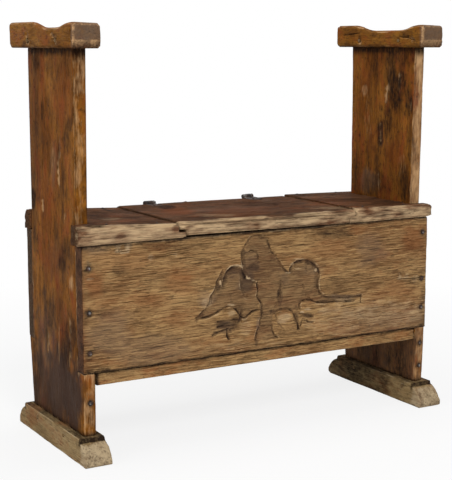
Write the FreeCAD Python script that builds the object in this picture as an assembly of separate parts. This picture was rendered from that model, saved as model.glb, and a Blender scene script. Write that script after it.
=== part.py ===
import FreeCAD, Part
import math
import os

os.makedirs("parts", exist_ok=True)
Vec = FreeCAD.Vector

# Settle bench: a chest seat between two plank uprights on sledge feet, with block armrests.
# Millimetres. X runs along the bench, the front is -Y, Z is up.
# The origin lies on the floor, under the middle of the bench.

# Whole bench
bench_span = 912.0           # outer face to outer face of the uprights
seat_height = 500.0          # level of the seat top at its joints
seat_thickness = 34.0
arm_underside = 872.0

# Uprights
upright_thickness = 30.0
upright_foot_front = 149.0   # how far the lower plank reaches forward of the middle, at the foot
upright_foot_back = 147.0
upright_top_front = 127.0    # the same at the armrest
upright_top_back = 132.0
upper_edge_radius = 6.0
lower_edge_radius = 8.0

# Chest boards
chest_front = 153.0          # outer face of the front board, forward of the middle
chest_back = 162.0           # outer face of the back board, behind the middle
front_board_thickness = 33.0
back_board_thickness = 31.0
front_board_height = 274.0
board_edge_radius = 2.5
board_fit = 0.3              # gap between a board and the bottom of its rebate

# Rail under the front board, and the chest floor on top of it
rail_height = 28.0
rail_depth = 42.0
rail_front_set_back = 1.0
rail_end_gap = 1.2
rail_tenon_length = 12.0
rail_tenon_height = 16.0
rail_tenon_thickness = 16.0
floor_thickness = 21.0
floor_housing_depth = 8.0
floor_fit = 0.3
floor_back_set_back = 2.0

# Sledge feet
foot_length = 396.0
foot_width = 60.0
foot_height = 55.0
foot_outset = 1.0            # the foot's middle stands this much outside the upright's middle
foot_ridge_length = 320.0
foot_riser = 9.0             # upright step at each end of the ridge
foot_riser_lean = 1.0
foot_ledge = 3.0             # flat shelf at the foot of the step, where the slope begins
foot_toe_height = 13.0
foot_toe_underside = 8.0     # rounding under the tip of the toe
foot_slope_bulge = 4.0       # how far the slope swells past a straight line
foot_edge_radius = 3.5

# Armrests
arm_front_reach = 172.0      # forward of the middle of the bench
left_arm_back_reach = 194.0  # behind it
right_arm_back_reach = 182.0
arm_width = 64.0
arm_height = 54.0            # at the front end
arm_outset = 2.0
# The top is a hand-worn saddle that winds from one long edge to the other.
# The edge on the left keeps high at the back, the edge on the right wears down from the back end on.
left_arm_low = 43.0          # the saddle's lowest level above the armrest's underside
right_arm_low = 41.0
left_arm_back_rise = 3.0     # the left edge's back end is this much higher than the front end
right_arm_back_rise = 1.0
left_arm_high_edge = (52.0, -50.0, -62.0, -160.0)  # where the left edge falls from and to, rises from and to
right_arm_high_edge = (100.0, 5.0, -68.0, -158.0)
arm_low_edge = (150.0, 104.0, -58.0, -150.0)       # the same for the right edge
arm_low_edge_back_drop = 5.0   # the right edge's back end is this much lower than the front end
arm_low_edge_front_drop = 3.0
arm_end_corner = 9.0         # rounding over the top of each end
arm_end_undercut_height = 16.0
arm_back_undercut_depth = 12.0
arm_front_undercut_depth = 9.0
arm_plan_radius = 8.0
arm_edge_chamfer = 4.0

# Tenons of the uprights, and the pegs through them
tenon_thickness = 18.0
tenon_fit = 0.25
foot_tenon_width = 80.0
foot_tenon_length = 40.0
foot_tenon_centres = (-97.0, 81.0)
arm_tenon_width = 70.0
arm_tenon_length = 34.0
arm_tenon_centres = (-80.0, 80.0)
tenon_end_gap = 2.0
peg_radius = 4.0
peg_fit = 0.05
peg_proud = 1.0
left_foot_peg_places = (-71.0, 81.0)
right_foot_peg_places = (-122.0, 81.0)
foot_peg_height = 40.0
arm_peg_places = (-79.0, 81.0)
arm_peg_rise = 16.5          # above the armrest's underside

# Seat planks: two fixed ends and the lid between them
seat_front = 160.0
seat_back = 161.0
seat_front_tongue_overhang = 11.0
seat_back_tongue_overhang = 4.0
left_end_outer_rise = 10.0   # above the seat height: this plank is thicker at the upright
left_end_joint_drop = 2.0    # below the seat height, where the plank meets the lid
right_end_outer_drop = 4.0
right_end_joint_rise = 1.0
notch_gap = 0.5
nosing_top_radius = 13.0
nosing_bottom_radius = 7.0
back_edge_radius = 5.0
tongue_plan_radius = 9.0

lid_left = -231.0            # the upper face of the lid reaches from here
lid_right = 238.0            # to here
lid_left_top_rise = 1.5      # the lid is warped, and stands off its seat at the left
lid_right_top_drop = 2.5
lid_left_rise = 4.5          # height of its underside above the chest boards, left and right
lid_right_rise = 0.4
lid_end_gap = 1.0
lid_back_gap = 0.6
lap_length = 18.0            # how far each fixed end's lip reaches under the lid
left_lip_thickness = 13.0
right_lip_thickness = 16.0
left_lap_gap = 5.0
right_lap_gap = 0.4

# Hinges
hinge_width = 28.0
hinge_places = (-138.5, 137.0)
hinge_iron = 3.0             # thickness of the leaves
knuckle_radius = 6.0
knuckle_root = 2.0           # how deep the knuckle sinks into its own leaf
knuckle_gap = 0.5
middle_knuckle_share = 0.5   # share of the width that the lid's knuckle takes
hinge_axis_rise = 1.0        # above the seat height
hinge_pin_radius = 2.5
hinge_pin_fit = 0.05
hinge_pin_head_radius = 4.2
hinge_pin_head = 1.5
frame_leaf_length = 58.0
lid_leaf_reach = 48.0        # from the hinge axis to the leaf's front end
knuckle_clearance = 1.0      # gap between a leaf and the knuckle of the other leaf
leaf_housing_gap = 0.5       # gap round the lid's leaf in its housing
lid_leaf_below_axis = 1.0    # the leaf's upper face lies this much below the hinge axis
lid_leaf_nail_margin = 8.0   # from the leaf's front end to its first nail
frame_leaf_nail_margin = 7.0  # from the leaf's lower end to its first nail
leaf_nail_stagger = 6.0      # from a leaf's first nail to its second
lid_leaf_nail_inset = 9.0    # last nail, in from the lid's back edge
frame_leaf_nail_drop = 8.0   # last nail, down from the board's top edge

# Nails
clout_head_radius = 5.8      # hand-forged nails in the chest boards and upright edges
clout_head_height = 2.6
clout_shank_radius = 2.2
clout_length = 48.0
brad_head_radius = 3.4       # smaller nails in the seat and the hinges
brad_head_height = 1.4
brad_shank_radius = 1.5
brad_length = 24.0
seat_nail_length = 62.0
seat_nail_places = (272.0, 392.0)  # from the middle of the bench
nail_fit = 0.05
left_front_nail_drops = (48.0, 143.0, 230.0)  # down from the board's top edge
right_front_nail_drops = (37.0, 152.0, 223.0)
back_nail_drops = (46.0, 144.0, 222.0)
left_edge_nail_shares = (0.5292,)  # of the way from the foot's top to the front board
right_edge_nail_shares = (0.71533, 0.29197)

# What follows from the sizes above
half_span = bench_span / 2
seat_underside = seat_height - seat_thickness  # top edges of the chest boards
left_end_outer_top = seat_height + left_end_outer_rise
left_end_joint_top = seat_height - left_end_joint_drop
right_end_outer_top = seat_height - right_end_outer_drop
right_end_joint_top = seat_height + right_end_joint_rise
lid_left_top = seat_height + lid_left_top_rise
lid_right_top = seat_height - lid_right_top_drop
hinge_axis_height = seat_height + hinge_axis_rise
upright_middle = half_span - upright_thickness / 2
inner_face = half_span - upright_thickness
front_rebate = chest_front - front_board_thickness
back_rebate = chest_back - back_board_thickness
front_board_bottom = seat_underside - front_board_height
floor_bottom = front_board_bottom
floor_top = floor_bottom + floor_thickness
back_board_bottom = floor_top
arm_top = arm_underside + arm_height
hinge_axis_y = chest_back + hinge_iron + knuckle_radius - knuckle_root
lid_back = seat_back - lid_back_gap
lid_leaf_top = hinge_axis_height - lid_leaf_below_axis
lid_leaf_floor = lid_leaf_top - hinge_iron
cut_through = 1.0            # how far a cutting block runs past the face it opens
LEFT = -1
RIGHT = 1


def block(x0, x1, y0, y1, z0, z1):
    """A box between two corners."""
    corner = Vec(min(x0, x1), min(y0, y1), min(z0, z1))
    return Part.makeBox(abs(x1 - x0), abs(y1 - y0), abs(z1 - z0), corner)


def rod(start, direction, radius, length):
    return Part.makeCylinder(radius, length, Vec(*start), Vec(*direction))


def polygon(points):
    corners = [Vec(*point) for point in points]
    return Part.Wire(Part.makePolygon(corners + corners[:1]).Edges)


def side_prism(outline, x0, x1):
    """Extrude a (y, z) outline along X."""
    wire = polygon([(x0, y, z) for y, z in outline])
    return Part.Face(wire).extrude(Vec(x1 - x0, 0, 0))


def front_prism(outline, y0, y1):
    """Extrude an (x, z) outline along Y."""
    wire = polygon([(x, y0, z) for x, z in outline])
    return Part.Face(wire).extrude(Vec(0, y1 - y0, 0))


def edges_where(solid, test):
    """The straight and curved edges whose two ends both pass the test."""
    chosen = []
    for edge in solid.Edges:
        ends = [vertex.Point for vertex in edge.Vertexes]
        if len(ends) == 2 and all(test(point) for point in ends):
            chosen.append(edge)
    return chosen


def near(value, target):
    return abs(value - target) < 0.01


def single(shape):
    """The one solid that a cut or a fuse leaves, with merged faces."""
    tidy = shape.removeSplitter()
    return tidy.Solids[0] if len(tidy.Solids) == 1 else tidy


def save(node, solids):
    shape = solids[0] if len(solids) == 1 else Part.makeCompound(solids)
    shape.exportStep("parts/" + node + ".step")
    print(node, len(shape.Solids), "solids", round(shape.Volume), "mm3")


def s_curve(start, end):
    """Two equal arcs that join two levels and leave both of them flat, as (y, z) edges."""
    run = end[0] - start[0]
    rise = end[1] - start[1]
    slope = math.atan2(abs(rise), abs(run))
    radius = math.hypot(run, rise) / (4 * math.sin(slope))
    step_y = math.copysign(radius * math.sin(slope), run)
    step_z = math.copysign(radius * (1 - math.cos(slope)), rise)
    middle = ((start[0] + end[0]) / 2, (start[1] + end[1]) / 2)
    first = (start[0] + step_y, start[1] + step_z)
    last = (end[0] - step_y, end[1] - step_z)
    return [(start, first, middle), (middle, last, end)]


def profile_face(stretches, x):
    """A face in the plane at x from straight (two points) and arc (three points) stretches."""
    edges = []
    for stretch in stretches:
        points = [Vec(x, y, z) for y, z in stretch]
        if len(points) == 2:
            edges.append(Part.LineSegment(points[0], points[1]).toShape())
        else:
            edges.append(Part.Arc(points[0], points[1], points[2]).toShape())
    return Part.Face(Part.Wire(edges))


def corner_arc(corner, radius, from_direction, to_direction):
    """A quarter round at a square corner, from one side to the next."""
    start = (corner[0] - radius * from_direction[0], corner[1] - radius * from_direction[1])
    end = (corner[0] + radius * to_direction[0], corner[1] + radius * to_direction[1])
    inset = radius * (1 - math.sqrt(0.5))
    middle = (
        corner[0] - inset * from_direction[0] + inset * to_direction[0],
        corner[1] - inset * from_direction[1] + inset * to_direction[1],
    )
    return (start, middle, end)


# Nails and pegs

def nail(point, outward, head_radius, head_height, shank_radius, length):
    """A nail with a low hammered head on the surface point, driven against the outward direction."""
    outward = Vec(*outward).normalize()
    point = Vec(*point)
    head = Part.makeCone(head_radius, head_radius * 0.62, head_height, point, outward)
    shank = Part.makeCylinder(shank_radius, length, point - outward * length, outward)
    return head.fuse(shank).removeSplitter().Solids[0]


def nail_hole(point, outward, shank_radius, length):
    outward = Vec(*outward).normalize()
    point = Vec(*point)
    depth = length + nail_fit
    return Part.makeCylinder(shank_radius + nail_fit, depth + cut_through, point - outward * depth, outward)


def clout(point, outward):
    return nail(point, outward, clout_head_radius, clout_head_height, clout_shank_radius, clout_length)


def clout_hole(point, outward):
    return nail_hole(point, outward, clout_shank_radius, clout_length)


def brad(point, outward, length=brad_length):
    return nail(point, outward, brad_head_radius, brad_head_height, brad_shank_radius, length)


def brad_hole(point, outward, length=brad_length):
    return nail_hole(point, outward, brad_shank_radius, length)


def front_nail_points(side):
    drops = left_front_nail_drops if side == LEFT else right_front_nail_drops
    return [(side * upright_middle, -chest_front, seat_underside - drop) for drop in drops]


def back_nail_points(side):
    return [(side * upright_middle, chest_back, seat_underside - drop) for drop in back_nail_drops]


def lower_front_at(height):
    """How far forward the upright's lower front edge stands at a height."""
    share = (height - foot_height) / (front_board_bottom - foot_height)
    return upright_foot_front + share * (chest_front - upright_foot_front)


def edge_outward():
    """The direction square to the upright's lower front edge, which leans a little."""
    lean = (chest_front - upright_foot_front) / (front_board_bottom - foot_height)
    return (0, -1, -lean)


def edge_nail_points(side):
    shares = left_edge_nail_shares if side == LEFT else right_edge_nail_shares
    heights = [foot_height + share * (front_board_bottom - foot_height) for share in shares]
    return [(side * upright_middle, -lower_front_at(height), height) for height in heights]


def upper_edges_at(height):
    """How far the upright's upper plank reaches forward and back at a height."""
    share = (height - seat_underside) / (arm_underside - seat_underside)
    front = front_rebate + share * (upright_top_front - front_rebate)
    back = back_rebate + share * (upright_top_back - back_rebate)
    return front, back


def seat_top_at(side, x_from_middle):
    """Height of a fixed end's upper face."""
    outer = left_end_outer_top if side == LEFT else right_end_outer_top
    joint = left_end_joint_top if side == LEFT else right_end_joint_top
    joint_place = abs(lid_left) if side == LEFT else lid_right
    outer_place = half_span + seat_front_tongue_overhang
    share = (x_from_middle - joint_place) / (outer_place - joint_place)
    return joint + share * (outer - joint)


def seat_outward(side):
    """The direction square to a fixed end's upper face, which slopes along the bench."""
    outer = half_span + seat_front_tongue_overhang
    return (side * (seat_top_at(side, outer - 1) - seat_top_at(side, outer)), 0, 1)


def seat_nail_points(side):
    points = []
    for place in seat_nail_places:
        for y in (-(front_rebate + chest_front) / 2, (back_rebate + chest_back) / 2):
            points.append((side * place, y, seat_top_at(side, place)))
    return points


def foot_pegs(side):
    places = left_foot_peg_places if side == LEFT else right_foot_peg_places
    middle = side * (upright_middle + foot_outset)
    length = foot_width + 2 * peg_proud
    start = middle - length / 2
    return [rod((start, y, foot_peg_height), (1, 0, 0), peg_radius, length) for y in places]


def arm_pegs(side):
    middle = side * (upright_middle + arm_outset)
    length = arm_width + 2 * peg_proud
    start = middle - length / 2
    height = arm_underside + arm_peg_rise
    return [rod((start, y, height), (1, 0, 0), peg_radius, length) for y in arm_peg_places]


def peg_holes(pegs):
    """The bores that a list of pegs needs, a little wider than the pegs."""
    bores = []
    for peg in pegs:
        box = peg.BoundBox
        start = (box.XMin, box.Center.y, box.Center.z)
        bores.append(rod(start, (1, 0, 0), peg_radius + peg_fit, box.XLength))
    return bores


# Feet

def make_foot(side):
    half = foot_length / 2
    ridge = foot_ridge_length / 2
    slope_foot = (half, foot_toe_height)
    riser_foot = (ridge + foot_riser_lean, foot_height - foot_riser)
    slope_head = (riser_foot[0] + foot_ledge, riser_foot[1])
    rise = slope_head[1] - slope_foot[1]
    run = slope_foot[0] - slope_head[0]
    chord = math.hypot(run, rise)
    swell = (
        (slope_foot[0] + slope_head[0]) / 2 + foot_slope_bulge * rise / chord,
        (slope_foot[1] + slope_head[1]) / 2 + foot_slope_bulge * run / chord,
    )
    under = foot_toe_underside

    def flip(point):
        return (-point[0], point[1])

    toe = corner_arc((half, 0.0), under, (1, 0), (0, 1))
    stretches = [
        ((-half + under, 0.0), (half - under, 0.0)),
        toe,
        ((half, under), slope_foot),
        (slope_foot, swell, slope_head),
        (slope_head, riser_foot),
        (riser_foot, (ridge, foot_height)),
        ((ridge, foot_height), (-ridge, foot_height)),
        ((-ridge, foot_height), flip(riser_foot)),
        (flip(riser_foot), flip(slope_head)),
        (flip(slope_head), flip(swell), flip(slope_foot)),
        (flip(slope_foot), (-half, under)),
        tuple(flip(point) for point in reversed(toe)),
    ]
    middle = side * (upright_middle + foot_outset)
    start = middle - foot_width / 2
    foot = profile_face(stretches, start).extrude(Vec(foot_width, 0, 0))
    long_edges = edges_where(foot, lambda p: near(p.z, foot_height) and abs(p.y) <= ridge + 0.01)
    long_edges = [edge for edge in long_edges if edge.Length > foot_width * 2]
    foot = foot.makeFillet(foot_edge_radius, long_edges)
    mortise_floor = foot_height - foot_tenon_length - tenon_end_gap
    for y in foot_tenon_centres:
        foot = foot.cut(mortise(side, y, foot_tenon_width, mortise_floor, foot_height))
    for bore in peg_holes(foot_pegs(side)):
        foot = foot.cut(bore)
    return single(foot)


def mortise(side, y, width, z0, z1):
    """A tenon's hole, wider than the tenon by the fit on each side."""
    half_thickness = tenon_thickness / 2 + tenon_fit
    middle = side * upright_middle
    half_width = width / 2 + tenon_fit
    return block(middle - half_thickness, middle + half_thickness, y - half_width, y + half_width, z0, z1)


def tenon(side, y, width, z0, z1):
    half = tenon_thickness / 2
    middle = side * upright_middle
    return block(middle - half, middle + half, y - width / 2, y + width / 2, z0, z1)


# Uprights

def make_upright(side):
    x0 = side * upright_middle - upright_thickness / 2
    x1 = x0 + upright_thickness
    lower_outline = [
        (-upright_foot_front, foot_height),
        (-chest_front, front_board_bottom),
        (-front_rebate, front_board_bottom),
        (-front_rebate, seat_underside),
        (back_rebate, seat_underside),
        (back_rebate, back_board_bottom),
        (chest_back, back_board_bottom),
        (upright_foot_back, foot_height),
    ]
    lower = side_prism(lower_outline, x0, x1)
    front_corners = edges_where(lower, lambda p: p.z < front_board_bottom + 0.01 and p.y < -front_rebate - 1)
    back_corners = edges_where(lower, lambda p: p.z < back_board_bottom + 0.01 and p.y > back_rebate + 1)
    upright_edges = [e for e in front_corners + back_corners if e.Length > upright_thickness * 2]
    lower = lower.makeFillet(lower_edge_radius, upright_edges)
    upper_outline = [
        (-front_rebate, seat_underside),
        (-upright_top_front, arm_underside),
        (upright_top_back, arm_underside),
        (back_rebate, seat_underside),
    ]
    upper = side_prism(upper_outline, x0, x1)
    long_edges = [edge for edge in upper.Edges if edge.Length > (arm_underside - seat_underside) * 0.9]
    upper = upper.makeFillet(upper_edge_radius, long_edges)
    upright = lower.fuse(upper)
    for y in foot_tenon_centres:
        upright = upright.fuse(tenon(side, y, foot_tenon_width, foot_height - foot_tenon_length, foot_height))
    arm_tenon_top = arm_underside + arm_tenon_length
    for y in arm_tenon_centres:
        upright = upright.fuse(tenon(side, y, arm_tenon_width, arm_underside, arm_tenon_top))
    face = side * inner_face
    housing_end = face + side * floor_housing_depth
    housing = block(face, housing_end, -front_rebate, chest_back + cut_through, floor_bottom, floor_top)
    upright = upright.cut(housing)
    upright = upright.cut(rail_pocket(side))
    for bore in peg_holes(foot_pegs(side)) + peg_holes(arm_pegs(side)):
        upright = upright.cut(bore)
    for point in front_nail_points(side):
        upright = upright.cut(clout_hole(point, (0, -1, 0)))
    for point in edge_nail_points(side):
        upright = upright.cut(clout_hole(point, edge_outward()))
    for point in back_nail_points(side):
        upright = upright.cut(clout_hole(point, (0, 1, 0)))
    return single(upright)


# Rail

rail_front = chest_front - rail_front_set_back
rail_tenon_y = -rail_front + rail_depth / 2
rail_middle_height = front_board_bottom - rail_height / 2


def rail_end_block(side, length, fit):
    """A block on the rail's middle line that runs a length into the upright."""
    half_y = rail_tenon_thickness / 2 + fit
    half_z = rail_tenon_height / 2 + fit
    return block(
        side * (inner_face - rail_end_gap), side * (inner_face + length),
        rail_tenon_y - half_y, rail_tenon_y + half_y,
        rail_middle_height - half_z, rail_middle_height + half_z,
    )


def rail_tenon(side):
    return rail_end_block(side, rail_tenon_length, 0.0)


def rail_pocket(side):
    return rail_end_block(side, rail_tenon_length + tenon_end_gap, tenon_fit)


def make_rail():
    reach = inner_face - rail_end_gap
    bottom = front_board_bottom - rail_height
    rail = block(-reach, reach, -rail_front, -rail_front + rail_depth, bottom, front_board_bottom)
    front_edges = edges_where(rail, lambda p: near(p.y, -rail_front) and near(p.z, bottom))
    rail = rail.makeFillet(board_edge_radius, front_edges)
    for side in (LEFT, RIGHT):
        rail = rail.fuse(rail_tenon(side))
    return single(rail)


# Chest boards

def make_front_board():
    back = -front_rebate - board_fit
    board = block(-half_span, half_span, -chest_front, back, front_board_bottom, seat_underside)
    face_edges = edges_where(board, lambda p: near(p.y, -chest_front))
    board = board.makeFillet(board_edge_radius, [e for e in face_edges if e.Length < bench_span / 2])
    for side in (LEFT, RIGHT):
        for point in front_nail_points(side):
            board = board.cut(clout_hole(point, (0, -1, 0)))
    return single(cut_seat_nails(board))


def make_back_board():
    front = back_rebate + board_fit
    board = block(-half_span, half_span, front, chest_back, back_board_bottom, seat_underside)
    face_edges = edges_where(board, lambda p: near(p.y, chest_back))
    board = board.makeFillet(board_edge_radius, [e for e in face_edges if e.Length < bench_span / 2])
    for side in (LEFT, RIGHT):
        for point in back_nail_points(side):
            board = board.cut(clout_hole(point, (0, 1, 0)))
    for place in hinge_places:
        for point in frame_leaf_nail_points(place):
            board = board.cut(brad_hole(point, (0, 1, 0)))
    return single(cut_seat_nails(board))


def cut_seat_nails(board):
    for side in (LEFT, RIGHT):
        for point in seat_nail_points(side):
            board = board.cut(brad_hole(point, seat_outward(side), seat_nail_length))
    return board


def make_floor():
    reach = inner_face + floor_housing_depth - floor_fit
    front = -front_rebate + board_fit
    back = chest_back - floor_back_set_back
    return block(-reach, reach, front, back, floor_bottom, floor_top)


# Armrests

def arm_outline(x, back, low, ends, places):
    """The armrest's outline in the plane at x, with its own top line."""
    front = -arm_front_reach
    back_top, front_top = ends
    fall_start, fall_end, rise_start, rise_end = places
    under_z = arm_underside + arm_end_undercut_height
    back_round = corner_arc((back, back_top), arm_end_corner, (0, 1), (-1, 0))
    front_round = corner_arc((front, front_top), arm_end_corner, (-1, 0), (0, -1))
    under_back = back - arm_back_undercut_depth
    under_front = front + arm_front_undercut_depth
    stretches = [
        ((under_front, arm_underside), (under_back, arm_underside)),
        ((under_back, arm_underside), (back, under_z)),
        ((back, under_z), back_round[0]),
        back_round,
        (back_round[2], (fall_start, back_top)),
    ]
    stretches += s_curve((fall_start, back_top), (fall_end, low))
    stretches.append(((fall_end, low), (rise_start, low)))
    stretches += s_curve((rise_start, low), (rise_end, front_top))
    stretches += [
        ((rise_end, front_top), front_round[0]),
        front_round,
        (front_round[2], (front, under_z)),
        ((front, under_z), (under_front, arm_underside)),
    ]
    return profile_face(stretches, x).OuterWire


def make_arm(side):
    middle = side * (upright_middle + arm_outset)
    left_face = middle - arm_width / 2
    right_face = middle + arm_width / 2
    if side == LEFT:
        back, high_edge = left_arm_back_reach, left_arm_high_edge
        drop, rise = left_arm_low, left_arm_back_rise
    else:
        back, high_edge = right_arm_back_reach, right_arm_high_edge
        drop, rise = right_arm_low, right_arm_back_rise
    low = arm_underside + drop
    high_ends = (arm_top + rise, arm_top)
    low_ends = (arm_top - arm_low_edge_back_drop, arm_top - arm_low_edge_front_drop)
    left = arm_outline(left_face, back, low, high_ends, high_edge)
    right = arm_outline(right_face, back, low, low_ends, arm_low_edge)
    arm = Part.makeLoft([right, left], True, True)

    def on_end(point):
        return near(point.y, back) or near(point.y, -arm_front_reach)

    corners = [edge for edge in edges_where(arm, on_end) if edge.Length < arm_height]
    arm = arm.makeFillet(arm_plan_radius, corners)
    bevel_reach = arm_edge_chamfer + cut_through
    for face, inward in ((left_face, 1), (right_face, -1)):
        bevel = [
            (face - inward * cut_through, arm_underside - cut_through),
            (face + inward * bevel_reach, arm_underside - cut_through),
            (face - inward * cut_through, arm_underside + bevel_reach),
        ]
        arm = arm.cut(front_prism(bevel, -arm_front_reach - cut_through, back + cut_through))
    for y in arm_tenon_centres:
        top = arm_underside + arm_tenon_length + tenon_end_gap
        arm = arm.cut(mortise(side, y, arm_tenon_width, arm_underside, top))
    for bore in peg_holes(arm_pegs(side)):
        arm = arm.cut(bore)
    return single(arm)


# Seat

def round_plank_edges(plank):
    """Round the front nosing and the back edge of a seat plank."""
    length = plank.BoundBox.XLength

    def long_at(y, upper):
        found = []
        for edge in edges_where(plank, lambda p: near(p.y, y)):
            height = edge.CenterOfMass.z
            top = height > (seat_underside + seat_height) / 2
            if edge.Length > length * 0.6 and top == upper:
                found.append(edge)
        return found

    plank = plank.makeFillet(nosing_top_radius, long_at(-seat_front, True))
    plank = plank.makeFillet(nosing_bottom_radius, long_at(-seat_front, False))
    return plank.makeFillet(back_edge_radius, long_at(plank.BoundBox.YMax, True))


def make_seat_end(side):
    joint = abs(lid_left) if side == LEFT else lid_right
    lip_thickness = left_lip_thickness if side == LEFT else right_lip_thickness
    outer = half_span + seat_front_tongue_overhang
    top = seat_top_at(side, outer)
    outline = [
        (side * outer, seat_underside),
        (side * outer, top),
        (side * joint, seat_top_at(side, joint)),
        (side * joint, seat_underside + lip_thickness),
        (side * (joint - lap_length), seat_underside + lip_thickness),
        (side * (joint - lap_length), seat_underside),
    ]
    plank = front_prism(outline, -seat_front, seat_back)
    plank = round_plank_edges(plank)
    notch_front, notch_back = upper_edges_at(top)
    past = outer + cut_through
    below = seat_underside - cut_through
    above = top + cut_through
    notch = block(
        side * (inner_face - notch_gap), side * past,
        -notch_front - notch_gap, notch_back + notch_gap, below, above,
    )
    plank = plank.cut(notch)
    back_tongue_end = half_span + seat_back_tongue_overhang
    trim = block(side * back_tongue_end, side * past, back_rebate, seat_back + cut_through, below, above)
    plank = plank.cut(trim)
    for point in seat_nail_points(side):
        plank = plank.cut(brad_hole(point, seat_outward(side), seat_nail_length))
    return single(plank)


def make_lid():
    left = lid_left + lid_end_gap
    right = lid_right - lid_end_gap
    left_shoulder = lid_left + lap_length + lid_end_gap
    right_shoulder = lid_right - lap_length - lid_end_gap
    left_under = seat_underside + left_lip_thickness + left_lap_gap
    right_under = seat_underside + right_lip_thickness + right_lap_gap
    outline = [
        (left, left_under),
        (left, lid_left_top),
        (right, lid_right_top),
        (right, right_under),
        (right_shoulder, right_under),
        (right_shoulder, seat_underside + lid_right_rise),
        (left_shoulder, seat_underside + lid_left_rise),
        (left_shoulder, left_under),
    ]
    lid = front_prism(outline, -seat_front, lid_back)
    lid = round_plank_edges(lid)
    for place in hinge_places:
        half = hinge_width / 2 + leaf_housing_gap
        housing = block(
            place - half, place + half, hinge_axis_y - lid_leaf_reach - leaf_housing_gap,
            lid_back + cut_through, lid_leaf_floor, lid_left_top + cut_through,
        )
        lid = lid.cut(housing)
        for point in lid_leaf_nail_points(place):
            lid = lid.cut(brad_hole(point, (0, 0, 1)))
    return single(lid)


# Hinges

def lid_leaf_nail_points(place):
    front = hinge_axis_y - lid_leaf_reach
    first = front + lid_leaf_nail_margin
    return [
        (place - hinge_width / 4, first, lid_leaf_top),
        (place + hinge_width / 4, first + leaf_nail_stagger, lid_leaf_top),
        (place, lid_back - lid_leaf_nail_inset, lid_leaf_top),
    ]


def frame_leaf_nail_points(place):
    y = chest_back + hinge_iron
    first = hinge_axis_height - frame_leaf_length + frame_leaf_nail_margin
    return [
        (place - hinge_width / 4, y, first),
        (place + hinge_width / 4, y, first + leaf_nail_stagger),
        (place, y, seat_underside - frame_leaf_nail_drop),
    ]


def knuckle_stretches(place):
    """The X stretches of the three knuckles: left, middle and right."""
    half = hinge_width / 2
    middle = hinge_width * middle_knuckle_share / 2
    return [
        (place - half, place - middle - knuckle_gap / 2),
        (place - middle + knuckle_gap / 2, place + middle - knuckle_gap / 2),
        (place + middle + knuckle_gap / 2, place + half),
    ]


def knuckle(x0, x1):
    return rod((x0, hinge_axis_y, hinge_axis_height), (1, 0, 0), knuckle_radius, x1 - x0)


def pin_bore(place):
    start = (place - hinge_width, hinge_axis_y, hinge_axis_height)
    return rod(start, (1, 0, 0), hinge_pin_radius + hinge_pin_fit, hinge_width * 2)


def make_frame_leaf(place):
    half = hinge_width / 2
    back = chest_back + hinge_iron
    low = hinge_axis_height - frame_leaf_length
    shoulder = hinge_axis_height - knuckle_radius - knuckle_clearance
    leaf = block(place - half, place + half, chest_back, back, low, shoulder)
    stretches = knuckle_stretches(place)
    for x0, x1 in (stretches[0], stretches[2]):
        leaf = leaf.fuse(block(x0, x1, chest_back, back, shoulder, hinge_axis_height))
        leaf = leaf.fuse(knuckle(x0, x1))
    leaf = leaf.cut(pin_bore(place))
    for point in frame_leaf_nail_points(place):
        leaf = leaf.cut(brad_hole(point, (0, 1, 0)))
    return single(leaf)


def make_lid_leaf(place):
    half = hinge_width / 2
    front = hinge_axis_y - lid_leaf_reach
    clear = hinge_axis_y - knuckle_radius - knuckle_clearance
    leaf = block(place - half, place + half, front, clear, lid_leaf_floor, lid_leaf_top)
    x0, x1 = knuckle_stretches(place)[1]
    leaf = leaf.fuse(block(x0, x1, clear, hinge_axis_y, lid_leaf_floor, lid_leaf_top))
    leaf = leaf.fuse(knuckle(x0, x1))
    leaf = leaf.cut(pin_bore(place))
    for point in lid_leaf_nail_points(place):
        leaf = leaf.cut(brad_hole(point, (0, 0, 1)))
    return single(leaf)


def make_hinge_pin(place):
    half = hinge_width / 2
    shank = rod((place - half, hinge_axis_y, hinge_axis_height), (1, 0, 0), hinge_pin_radius, hinge_width)
    heads = []
    for x, direction in ((place - half, -1), (place + half, 1)):
        centre = (x, hinge_axis_y, hinge_axis_height)
        heads.append(rod(centre, (direction, 0, 0), hinge_pin_head_radius, hinge_pin_head))
    return single(shank.fuse(heads[0]).fuse(heads[1]))


# Write one file for each node

save("left_foot", [make_foot(LEFT)])
save("right_foot", [make_foot(RIGHT)])
save("left_upright", [make_upright(LEFT)])
save("right_upright", [make_upright(RIGHT)])
save("left_armrest", [make_arm(LEFT)])
save("right_armrest", [make_arm(RIGHT)])
save("front_board", [make_front_board()])
save("back_board", [make_back_board()])
save("front_rail", [make_rail()])
save("floor_board", [make_floor()])
save("seat_end_left", [make_seat_end(LEFT)])
save("seat_end_right", [make_seat_end(RIGHT)])
save("lid", [make_lid()])

for name, place in zip(("left_hinge", "right_hinge"), hinge_places):
    save(name + "_frame_leaf", [make_frame_leaf(place)])
    save(name + "_lid_leaf", [make_lid_leaf(place)])
    save(name + "_pin", [make_hinge_pin(place)])

SIDES = (LEFT, RIGHT)
save("front_board_nails", [clout(p, (0, -1, 0)) for side in SIDES for p in front_nail_points(side)])
save("back_board_nails", [clout(p, (0, 1, 0)) for side in SIDES for p in back_nail_points(side)])
save("upright_edge_nails", [clout(p, edge_outward()) for side in SIDES for p in edge_nail_points(side)])
save("seat_nails", [
    brad(p, seat_outward(side), seat_nail_length) for side in SIDES for p in seat_nail_points(side)
])
save("hinge_frame_nails", [
    brad(p, (0, 1, 0)) for place in hinge_places for p in frame_leaf_nail_points(place)
])
save("hinge_lid_nails", [
    brad(p, (0, 0, 1)) for place in hinge_places for p in lid_leaf_nail_points(place)
])
save("foot_pegs", [peg for side in SIDES for peg in foot_pegs(side)])
save("armrest_pegs", [peg for side in SIDES for peg in arm_pegs(side)])
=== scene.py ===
import math
import random
from collections import namedtuple

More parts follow.
